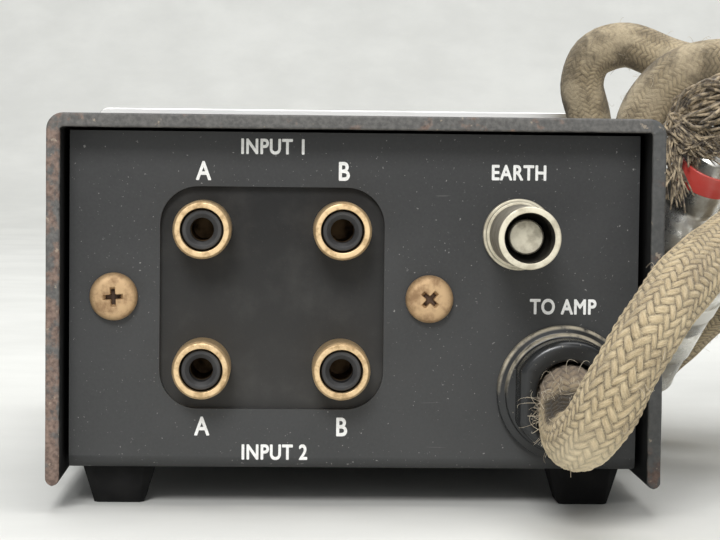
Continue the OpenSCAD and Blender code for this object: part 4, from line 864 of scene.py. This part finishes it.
# dark bronze: tarnish, and painted shade deep in the pin holes
dress(["jack_contacts"], plated("contact_tarnish_and_shade", (0.145, 0.0943, 0.0508), (0.0435, 0.029, 0.0174), 0.5))
dress(["jack_nuts"], jack_brass, 0.2 * MM)

# Board screws: two truss head screws of dull brass, driven through panel and board into nuts. Their
# cross recesses are coloured dark brown.
TRUSS_R = 3.45 * MM
TRUSS_H = 2 * MM
SHANK_R = 1.5 * MM
CROSS_ARM = 1.4 * MM
CROSS_HALF = 0.36 * MM
CROSS_CORE = 0.85 * MM
CROSS_DEEP = 1.1 * MM


def truss_top(x, z, turn):
    """Height of a truss head: a flat dome, which falls with the seventh power of the radius, less a
    cross recess of two arms and a square core with sloping walls."""
    r = np.hypot(x, z) / TRUSS_R
    dome = TRUSS_H * (0.3 + 0.7 * np.clip(1 - r ** 7, 0, 1) ** 0.5)
    c, s = math.cos(turn), math.sin(turn)
    a = np.abs(x * c + z * s)
    b = np.abs(z * c - x * s)
    one_arm = np.maximum(a / CROSS_ARM, b / CROSS_HALF)
    other_arm = np.maximum(b / CROSS_ARM, a / CROSS_HALF)
    inside = np.minimum(np.minimum(one_arm, other_arm), (a + b) / CROSS_CORE)
    return dome - CROSS_DEEP * (1 - ease(0.6, 1.1, inside))


def face_values(piece, what):
    """One vector for each face of a piece, its center or its normal."""
    values = np.empty(3 * len(piece.data.polygons))
    piece.data.polygons.foreach_get(what, values)
    return values.reshape(-1, 3)


def set_looks(piece, numbers):
    """Gives each face the material of that number."""
    piece.data.polygons.foreach_set("material_index", numbers.astype(np.int32))


truss_grids = []
screw_lo, screw_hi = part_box("board_screws")
screw_x = (screw_lo[0] + TRUSS_R, screw_hi[0] - TRUSS_R)
screw_z = (screw_lo[2] + screw_hi[2]) / 2
head_r = TRUSS_R * np.concatenate([np.linspace(0.01, 0.72, 50), np.linspace(0.74, 1, 22)])
shank_r = np.array([TRUSS_R, SHANK_R, SHANK_R, SHANK_R - 0.3 * MM])
shank_y = np.array([panel_y, panel_y, screw_hi[1] - 0.3 * MM, screw_hi[1]])
truss_turn = full_turn(120)
ring_x = np.outer(np.concatenate([head_r, shank_r]), np.cos(truss_turn))
ring_z = np.outer(np.concatenate([head_r, shank_r]), np.sin(truss_turn))
for x, cross_turn in zip(screw_x, (0.06, math.radians(47))):
    head_y = panel_y - truss_top(ring_x[:len(head_r)], ring_z[:len(head_r)], cross_turn)
    ring_y = np.vstack([head_y, np.repeat(shank_y[:, None], len(truss_turn), axis=1)])
    truss_grids.append(np.stack([x + ring_x, ring_y, screw_z + ring_z], axis=-1))
board_screws = grid_piece("board_truss_screws", truss_grids, caps=True)
even_shading(board_screws)
screw_brass = plated("screw_brass", (0.55, 0.375, 0.205), (0.32, 0.2, 0.105), 0.55, metal=0.45, spread=600)
recess_dark_brown = plated("recess_dark_brown", (0.1015, 0.058, 0.0348), (0.0435, 0.0261, 0.0174), 0.6, metal=0.3)
finish_with(board_screws, screw_brass, recess_dark_brown)
middle = face_values(board_screws, "center")
sunk = (middle[:, 1] > panel_y - 1.25 * MM) & (middle[:, 1] < panel_y - 0.25 * MM)
from_axis = np.min([np.hypot(middle[:, 0] - x, middle[:, 2] - screw_z) for x in screw_x], axis=0)
set_looks(board_screws, sunk & (from_axis < 1.5 * MM))
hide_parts("board_screws")
zinc_steel = plated("zinc_steel", (0.7, 0.7, 0.68), (0.46, 0.46, 0.44), 0.35)
dress(["board_nuts"], zinc_steel, 0.15 * MM)

# Ground post: a nickel stud through the panel with a collar, a loose clamp washer and a thumb cap
# that screws along the stud. All are turned; behind the panel a nut and a solder lug hold the stud.
post_nickel = plated("post_nickel", (0.74, 0.69, 0.55), (0.54, 0.495, 0.385), 0.5, metal=0.7, spread=500)
# a darker copy of the nickel for the turned sides: painted shade
post_side_painted_shade = plated("post_side_painted_shade", (0.435, 0.3987, 0.3262), (0.29, 0.261, 0.2102), 0.5, metal=0.7)
# near black: painted shade in the cap's bore and on the stud inside it
post_bore_painted_shade = plated("post_bore_painted_shade", (0.0435, 0.0377, 0.029), (0.0174, 0.0145, 0.0116), 0.6, metal=0.4)


def ring_outline(low, high, inner, outer, round_by):
    """Closed outline of a plain ring with four rounded corners."""
    return filleted([(low, inner, round_by), (high, inner, round_by),
                     (high, outer, round_by), (low, outer, round_by)])


STUD_R = 2.5
THREAD_DEEP = 0.12
THREAD_FIT_R = 2.65
POST_COLLAR_T = 1.2
POST_COLLAR_R = 5.2
WASHER_T = 0.8
WASHER_R = 4.8
CAP_R = 4.4
CAP_BORE_R = 3.5
CAP_FLOOR = 7
cap_lo, cap_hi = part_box("ground_cap")
stud_lo, stud_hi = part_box("ground_stud")
post_at = np.array([(cap_lo[0] + cap_hi[0]) / 2, panel_y, (cap_lo[2] + cap_hi[2]) / 2])
cap_out, cap_in = (panel_y - cap_lo[1]) / MM, (panel_y - cap_hi[1]) / MM
stud_out, stud_in = (panel_y - stud_lo[1]) / MM, (panel_y - stud_hi[1]) / MM
stud_outline = [(stud_in, 0.02), (stud_in, 2.3), (stud_in + 0.2, STUD_R)]
stud_outline += [(h, STUD_R - THREAD_DEEP * (k % 2)) for k, h in enumerate(np.arange(2.2, 9.8, 0.2))]
stud_outline += [(stud_out - 0.24, STUD_R), (stud_out - 0.03, 2.32)]
stud_outline += [(stud_out, r) for r in (2.27, 2.2, 2.1, 1, 0.02)]
collar_outline = ring_outline(0, POST_COLLAR_T, STUD_R, POST_COLLAR_R, 0.2)
washer_outline = ring_outline(POST_COLLAR_T, POST_COLLAR_T + WASHER_T, THREAD_FIT_R, WASHER_R, 0.15)
cap_outline = filleted([
    (cap_in, THREAD_FIT_R, 0.1), (cap_in + CAP_FLOOR, THREAD_FIT_R, 0), (cap_in + CAP_FLOOR, CAP_BORE_R, 0),
    (cap_out, CAP_BORE_R, 0.12), (cap_out, CAP_R, 0.2), (cap_in + 0.3, CAP_R, 0.2), (cap_in, 4.1, 0.1)])
for part, body, outline in (
        ("ground_stud", "case", stud_outline), ("ground_collar", "case", collar_outline),
        ("ground_washer", "clamp_washer", washer_outline), ("ground_cap", "thumb_cap", cap_outline)):
    solid = part == "ground_stud"
    piece = grid_piece(part + "_turned", turned(outline, post_at, BACK, 96), body=body,
                       loop=not solid, caps=solid)
    even_shading(piece)
    finish_with(piece, post_nickel, post_side_painted_shade, post_bore_painted_shade)
    from_post = face_values(piece, "center") - post_at
    r = np.hypot(from_post[:, 0], from_post[:, 2]) / MM
    side_on = np.abs(face_values(piece, "normal")[:, 1]) < 0.5
    # the turned sides take the darker copy, painted shade; the cap's bore and the stud within it take near
    # black, painted shade
    looks = np.where(side_on & (r > 4.3), 1, 0)
    if part == "ground_cap":
        looks[r < 3.52] = 2
    if part == "ground_stud":
        looks[side_on & (r > 2.3)] = 2
    set_looks(piece, looks)
    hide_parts(part)
dress(["ground_nut", "ground_lug"], tinned, 0.12 * MM)

# Cord bush: moulded glossy black plastic, a stepped flange with a nose that has two flat sides. The
# cord leaves through a rounded mouth a little below the middle; a ring nut holds it inside.
bush_lo, bush_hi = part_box("cord_bush")
bush_at = np.array([(bush_lo[0] + bush_hi[0]) / 2, panel_y, (bush_lo[2] + bush_hi[2]) / 2])
NOSE_R = 8.2 * MM
NOSE_ROUND = 1.1 * MM
NOSE_FLAT = 7.25 * MM
MOUTH_W = 9.4 * MM
MOUTH_H = 12.4 * MM
MOUTH_R = 4.6 * MM
MOUTH_DROP = 1 * MM
MOUTH_ROUND = 0.5 * MM
NECK_R = 6.4 * MM
bush_turn = full_turn(144)
bush_way = np.stack([np.cos(bush_turn), np.sin(bush_turn)], axis=1)


def nose_ring(r):
    """Ring of radius r with its sides cut flat."""
    ring = r * bush_way
    flat = NOSE_FLAT - (NOSE_R - r)
    ring[:, 0] = np.clip(ring[:, 0], -flat, flat)
    return ring


def mouth_ring(grow):
    """Rounded oblong of the mouth, made larger or smaller all round."""
    core = np.array([MOUTH_W / 2 - MOUTH_R, MOUTH_H / 2 - MOUTH_R])
    ring = np.clip(bush_way * [MOUTH_W, MOUTH_H], -core, core) + (MOUTH_R + grow) * bush_way
    return ring - [0, MOUTH_DROP]


neck_l = bush_hi[1] - panel_y
bush_rings = [(-neck_l, 5 * MM * bush_way), (-neck_l, NECK_R * bush_way), (0, NECK_R * bush_way)]
bush_rings += [(h * MM, r * MM * bush_way) for h, r in (
    (0, 9.65), (0.06, 9.8), (0.2, 9.85), (1.25, 9.85), (1.42, 9.78), (1.5, 9.6), (1.5, 8.95), (1.56, 8.78),
    (1.72, 8.7), (2.15, 8.7), (2.33, 8.62), (2.4, 8.45))]
bush_rings += [(2.4 * MM, nose_ring(NOSE_R + 0.08 * MM)), (2.6 * MM, nose_ring(NOSE_R))]
bush_rings += [(NOSE_H - NOSE_ROUND, nose_ring(NOSE_R))]
for a in np.linspace(0.15, math.pi / 2, 7):
    smaller = NOSE_ROUND * (1 - math.cos(a))
    bush_rings.append((NOSE_H - NOSE_ROUND * (1 - math.sin(a)), nose_ring(NOSE_R - smaller)))
for a in np.linspace(math.pi / 2, 0, 6):
    larger = MOUTH_ROUND * (1 - math.cos(a))
    bush_rings.append((NOSE_H - MOUTH_ROUND * (1 - math.sin(a)), mouth_ring(larger)))
bush_rings += [(2 * MM, mouth_ring(0)), (2 * MM, 4.95 * MM * bush_way)]
bush_h = np.array([h for h, ring in bush_rings])[:, None]
bush_ring = np.array([ring for h, ring in bush_rings])
bush_grid = np.stack(np.broadcast_arrays(
    bush_at[0] + bush_ring[:, :, 0], panel_y - bush_h, bush_at[2] + bush_ring[:, :, 1]), axis=-1)
bush = grid_piece("cord_bush_moulded", bush_grid, loop=True)
even_shading(bush)


def bush_black():
    """Glossy black moulding; beige dust lies in two arcs on the upper side of the flange's steps, where
    the radius is near that of a step and the place is high."""
    material, tree, bsdf = shader("bush_black", rough=0.25)
    across = calc(tree, "SUBTRACT", place(tree, 0), float(bush_at[0]))
    up = calc(tree, "SUBTRACT", place(tree, 2), float(bush_at[2]))
    r = calc(tree, "SQRT", calc(tree, "MULTIPLY_ADD", across, across, calc(tree, "MULTIPLY", up, up)))
    rims = [ramp(tree, calc(tree, "ABSOLUTE", calc(tree, "SUBTRACT", r, at)), wide, 0.1 * MM)
            for at, wide in ((9.7 * MM, 0.4 * MM), (8.62 * MM, 0.3 * MM))]
    arcs = calc(tree, "MAXIMUM", rims[0], rims[1])
    leaning = calc(tree, "MULTIPLY_ADD", across, -0.3, up)
    upper = ramp(tree, leaning, 1.5 * MM, 7.5 * MM)
    patchy = ramp(tree, noise(tree, 520, 4), 0.3, 0.6)
    dust = calc(tree, "MULTIPLY", calc(tree, "MULTIPLY", arcs, upper), calc(tree, "MULTIPLY", patchy, 0.75))
    specks = calc(tree, "MULTIPLY", ramp(tree, noise(tree, 2300, 2), 0.7, 0.76), 0.3)
    share = calc(tree, "ADD", dust, specks)
    tree.links.new(mix(tree, share, (0.017, 0.018, 0.0185), (0.6, 0.53, 0.4)), bsdf.inputs["Base Color"])
    tree.links.new(calc(tree, "MULTIPLY_ADD", share, 0.6, 0.25), bsdf.inputs["Roughness"])
    bump(tree, bsdf, noise(tree, 900, 3), 0.02 * MM, 0.3)
    return material


finish_with(bush, bush_black())
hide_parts("cord_bush")
dress(["bush_ring_nut"], insulator_black, 0.15 * MM)

# Feet: four moulded rubber feet, tapered and with flattened corners, each held by a screw from below.
# The cover's own screws, of blackened steel, are dressed here too.
foot_rubber = moulded("foot_rubber", (0.007, 0.007, 0.007), (0.04, 0.039, 0.038), 0.65, 0.25, gloss=0.12)
dress(["foot_rear_left", "foot_rear_right", "foot_front_left", "foot_front_right"], foot_rubber, 0.3 * MM)
dress(["foot_screws"], zinc_steel, 0.12 * MM)
black_steel = plated("black_steel", (0.0725, 0.0725, 0.0725), (0.1595, 0.145, 0.1377), 0.4)
dress(["cover_screws"], black_steel, 0.15 * MM)

# Front panel: a thick aluminium plate, brushed from side to side, wider and higher than the cover,
# held by four screws. Plain numbers stand round both knobs.
BRUSHED = (0.04, 1, 1)
panel_aluminium = plated("panel_aluminium", (0.8, 0.795, 0.775), (0.76, 0.753, 0.725), 0.34, BRUSHED, 2400,
                         spread=45, patchy=0.06)
dress(["front_panel"], panel_aluminium, 0.3 * MM)
dress(["front_panel_screws"], black_steel, 0.15 * MM)
face_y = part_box("front_panel")[1][1]
black_ink = printed("printed_black", (0.0338, 0.0338, 0.0338), (0.0845, 0.0845, 0.0845))
NUMBER_R = 15.6 * MM
STEP = math.radians(30)
for knob_name, labels in (("input", "102"), ("load", "12345")):
    lo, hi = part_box(knob_name + "_knob")
    for k, label in enumerate(labels):
        a = STEP * (k - (len(labels) - 1) / 2)
        x = (lo[0] + hi[0]) / 2 - NUMBER_R * math.sin(a)
        z = (lo[2] + hi[2]) / 2 + NUMBER_R * math.cos(a)
        mark = lettering("%s_number_%d" % (knob_name, k + 1), label, x, z, 2.4 * MM, face_y, 1, 0.06 * MM)
        finish_with(mark, black_ink)

# Knobs: turned from aluminium bar, with a knurled grip, a chamfered face and a milled index groove
# filled with black paint. Each sits on its switch's shaft and is held by a grub screw.
KNURLS = 60
KNURL_DEEP = 0.22 * MM
KNOB_AROUND = 360
KNOB_R = 11
CHAMFER_H = 0.8
CHAMFER_R = 1.6
HOLLOW_R = 8
HOLLOW_H = 3.6
SHAFT_R = 3
FACE_T = 3.4
GROOVE_HALF = 0.6 * MM
GROOVE_DEEP = 0.5 * MM
GROOVE_FROM = 2 * MM
knob_aluminium = plated("knob_aluminium", (0.8, 0.795, 0.78), (0.74, 0.732, 0.71), 0.28, scale=6000,
                        spread=110, patchy=0.1)
groove_paint = moulded("groove_paint", (0.02, 0.02, 0.021), (0.1, 0.095, 0.09), 0.5, 0.3)
for side in ("input", "load"):
    lo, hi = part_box(side + "_knob")
    knob_at = np.array([(lo[0] + hi[0]) / 2, lo[1], (lo[2] + hi[2]) / 2])
    knob_h = (hi[1] - lo[1]) / MM
    inner = filleted([
        (0, HOLLOW_R, 0.2), (HOLLOW_H, HOLLOW_R, 0.3), (HOLLOW_H, SHAFT_R, 0.1),
        (knob_h - FACE_T, SHAFT_R, 0), (knob_h - FACE_T, 0.02, 0)])
    outer = [(knob_h, 0.02)] + [(knob_h, r) for r in np.linspace(0.6, 9.2, 24)] + [(knob_h - 0.06, 9.36)]
    outer += [(knob_h - CHAMFER_H * (1 - t), KNOB_R - CHAMFER_R * t) for t in (0.9, 0.5, 0.1)]
    outer += [(h, KNOB_R) for h in np.linspace(14.4, 0.4, 36)] + [(0.1, 10.9), (0, 10.7)]
    rows = np.vstack([inner, outer])
    row_h, row_r = rows.T
    on_side = row_r > KNOB_R - 0.2
    grid = turned(rows, knob_at, (0, 1, 0), KNOB_AROUND)
    away = (grid - knob_at) * [1, 0, 1]
    grip = ease(2.6, 3.2, row_h) * (1 - ease(13.2, 13.8, row_h)) * on_side
    knurl = KNURL_DEEP * (0.5 - 0.5 * np.cos(KNURLS * full_turn(KNOB_AROUND)))
    grid -= away / np.linalg.norm(away, axis=2)[:, :, None] * np.outer(grip, knurl)[:, :, None]
    in_line = 1 - ease(GROOVE_HALF * 0.8, GROOVE_HALF * 1.2, np.abs(away[:, :, 0]))
    in_line *= away[:, :, 2] > GROOVE_FROM
    grid[:, :, 1] -= GROOVE_DEEP * (row_h > knob_h - 0.1)[:, None] * in_line
    grid[:, :, 2] -= GROOVE_DEEP * (on_side & (row_h > 3.4))[:, None] * in_line
    knob = grid_piece(side + "_knob_turned", grid, body=side + "_selector", caps=True)
    even_shading(knob)
    finish_with(knob, knob_aluminium, groove_paint)
    middle = face_values(knob, "center") - knob_at
    in_groove = (np.abs(middle[:, 0]) < GROOVE_HALF) & (middle[:, 2] > GROOVE_FROM)
    set_looks(knob, in_groove & (middle[:, 1] > HOLLOW_H * MM))
    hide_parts(side + "_knob")
grub_steel = plated("grub_steel", (0.1885, 0.1885, 0.1885), (0.1015, 0.0943, 0.087), 0.35)
dress(["input_knob_grub", "load_knob_grub"], grub_steel)

# Switches: two rotary switches with a pressed steel cup, a laminate wafer, a ceramic coloured rotor
# and a steel shaft; a nut on the threaded throat holds each one on the front panel.
switch_steel = plated("switch_steel", (0.66, 0.645, 0.6), (0.5, 0.475, 0.41), 0.4)
wafer_brown = moulded("wafer_brown", (0.19, 0.09, 0.04), (0.3, 0.19, 0.11), 0.5, 0.4)
shaft_steel = plated("shaft_steel", (0.7, 0.69, 0.67), (0.54, 0.53, 0.5), 0.3)
rotor_cream = moulded("rotor_cream", (0.64, 0.55, 0.4), (0.46, 0.37, 0.24), 0.45, 0.4)
dress(["input_switch_cup", "load_switch_cup"], switch_steel, 0.2 * MM)
dress(["input_switch_wafer", "load_switch_wafer"], wafer_brown, 0.1 * MM)
dress(["input_shaft", "load_shaft"], shaft_steel, 0.1 * MM)
dress(["input_rotor", "load_rotor"], rotor_cream, 0.1 * MM)
dress(["switch_nuts", "switch_tie_posts"], zinc_steel, 0.12 * MM)

# Transformers: one for each channel, a winding of enamelled copper on a core of stacked sheet, each
# in a deep drawn screening can that two screws hold on the chassis floor.
can_metal = plated("can_metal", (0.62, 0.62, 0.6), (0.45, 0.45, 0.42), 0.42)
core_metal = plated("core_metal", (0.38, 0.38, 0.39), (0.24, 0.23, 0.22), 0.45, (1, 1, 6), 2200)
winding_copper = plated("winding_copper", (0.7, 0.3, 0.13), (0.42, 0.16, 0.065), 0.32, (1, 1, 8), 2600)
dress(["left_can", "right_can"], can_metal, 0.25 * MM)
dress(["left_core", "right_core"], core_metal, 0.1 * MM)
dress(["left_winding", "right_winding"], winding_copper, 0.3 * MM)
dress(["can_screws"], zinc_steel, 0.12 * MM)

# Floor and backdrop: one pale sheet with a faint mottle that curves up behind the object. Soft lights
# shine on the object from the upper left, from above and from low on the right; a fourth one is on
# the sheet's back, and an even pale surround fills the shadows.
FLOOR_HALF = 2.4
BACK_Y = 1.7
BACK_H = 2.2
CURVE_R = 0.7
bend = np.linspace(0, math.pi / 2, 24)
sheet_y = np.concatenate([[-FLOOR_HALF], BACK_Y - CURVE_R + CURVE_R * np.sin(bend), [BACK_Y]])
sheet_z = np.concatenate([[0], CURVE_R - CURVE_R * np.cos(bend), [BACK_H]])
sheet_x = np.linspace(-FLOOR_HALF, FLOOR_HALF, 9)
sheet = np.stack(np.broadcast_arrays(sheet_x[None, :], sheet_y[:, None], sheet_z[:, None]), axis=-1)
sheet_mesh = bpy.data.meshes.new("backdrop")
cols = len(sheet_x)
i, j = np.meshgrid(np.arange(len(sheet_y) - 1), np.arange(cols - 1), indexing="ij")
sheet_faces = np.stack([i * cols + j, i * cols + j + 1, (i + 1) * cols + j + 1, (i + 1) * cols + j], axis=-1)
sheet_mesh.from_pydata(sheet.reshape(-1, 3).tolist(), [], sheet_faces.reshape(-1, 4).tolist())
sheet_mesh.polygons.foreach_set("use_smooth", np.ones(len(sheet_mesh.polygons), dtype=bool))
backdrop = bpy.data.objects.new("backdrop", sheet_mesh)
bpy.context.collection.objects.link(backdrop)
pale, tree, bsdf = shader("backdrop_paper", rough=0.9)
mottle = calc(tree, "ADD", calc(tree, "MULTIPLY", noise(tree, 22, 5), 0.6),
              calc(tree, "MULTIPLY", noise(tree, 4, 2), 0.4))
tree.links.new(mix(tree, ramp(tree, mottle, 0.3, 0.7), (0.7, 0.701, 0.668), (0.79, 0.791, 0.755)),
               bsdf.inputs["Base Color"])
finish_with(backdrop, pale)

world = bpy.data.worlds.new("surround")
bpy.context.scene.world = world
world.use_nodes = True
world.node_tree.nodes["Background"].inputs["Color"].default_value = (0.95, 0.97, 1.0, 1)
world.node_tree.nodes["Background"].inputs["Strength"].default_value = 0.35
CASE_MIDDLE = (0, 0, 0.03)
for name, spot, target, size, power in (
        ("key_light", (-0.2, -1.1, 0.8), CASE_MIDDLE, 0.4, 9.6),
        ("top_light", (0.1, -0.1, 1.2), CASE_MIDDLE, 1.0, 9.6),
        ("fill_light", (0.25, -1.2, 0.25), CASE_MIDDLE, 0.8, 2),
        ("backdrop_light", (0.2, 0.6, 1.5), (0.2, 1.7, 0.5), 1.2, 9)):
    light = bpy.data.objects.new(name, bpy.data.lights.new(name, "AREA"))
    light.data.size = size
    light.data.energy = power
    light.location = spot
    light.rotation_euler = (Vector(target) - light.location).to_track_quat("-Z", "Y").to_euler()
    bpy.context.collection.objects.link(light)
bpy.context.scene.view_settings.view_transform = "Standard"
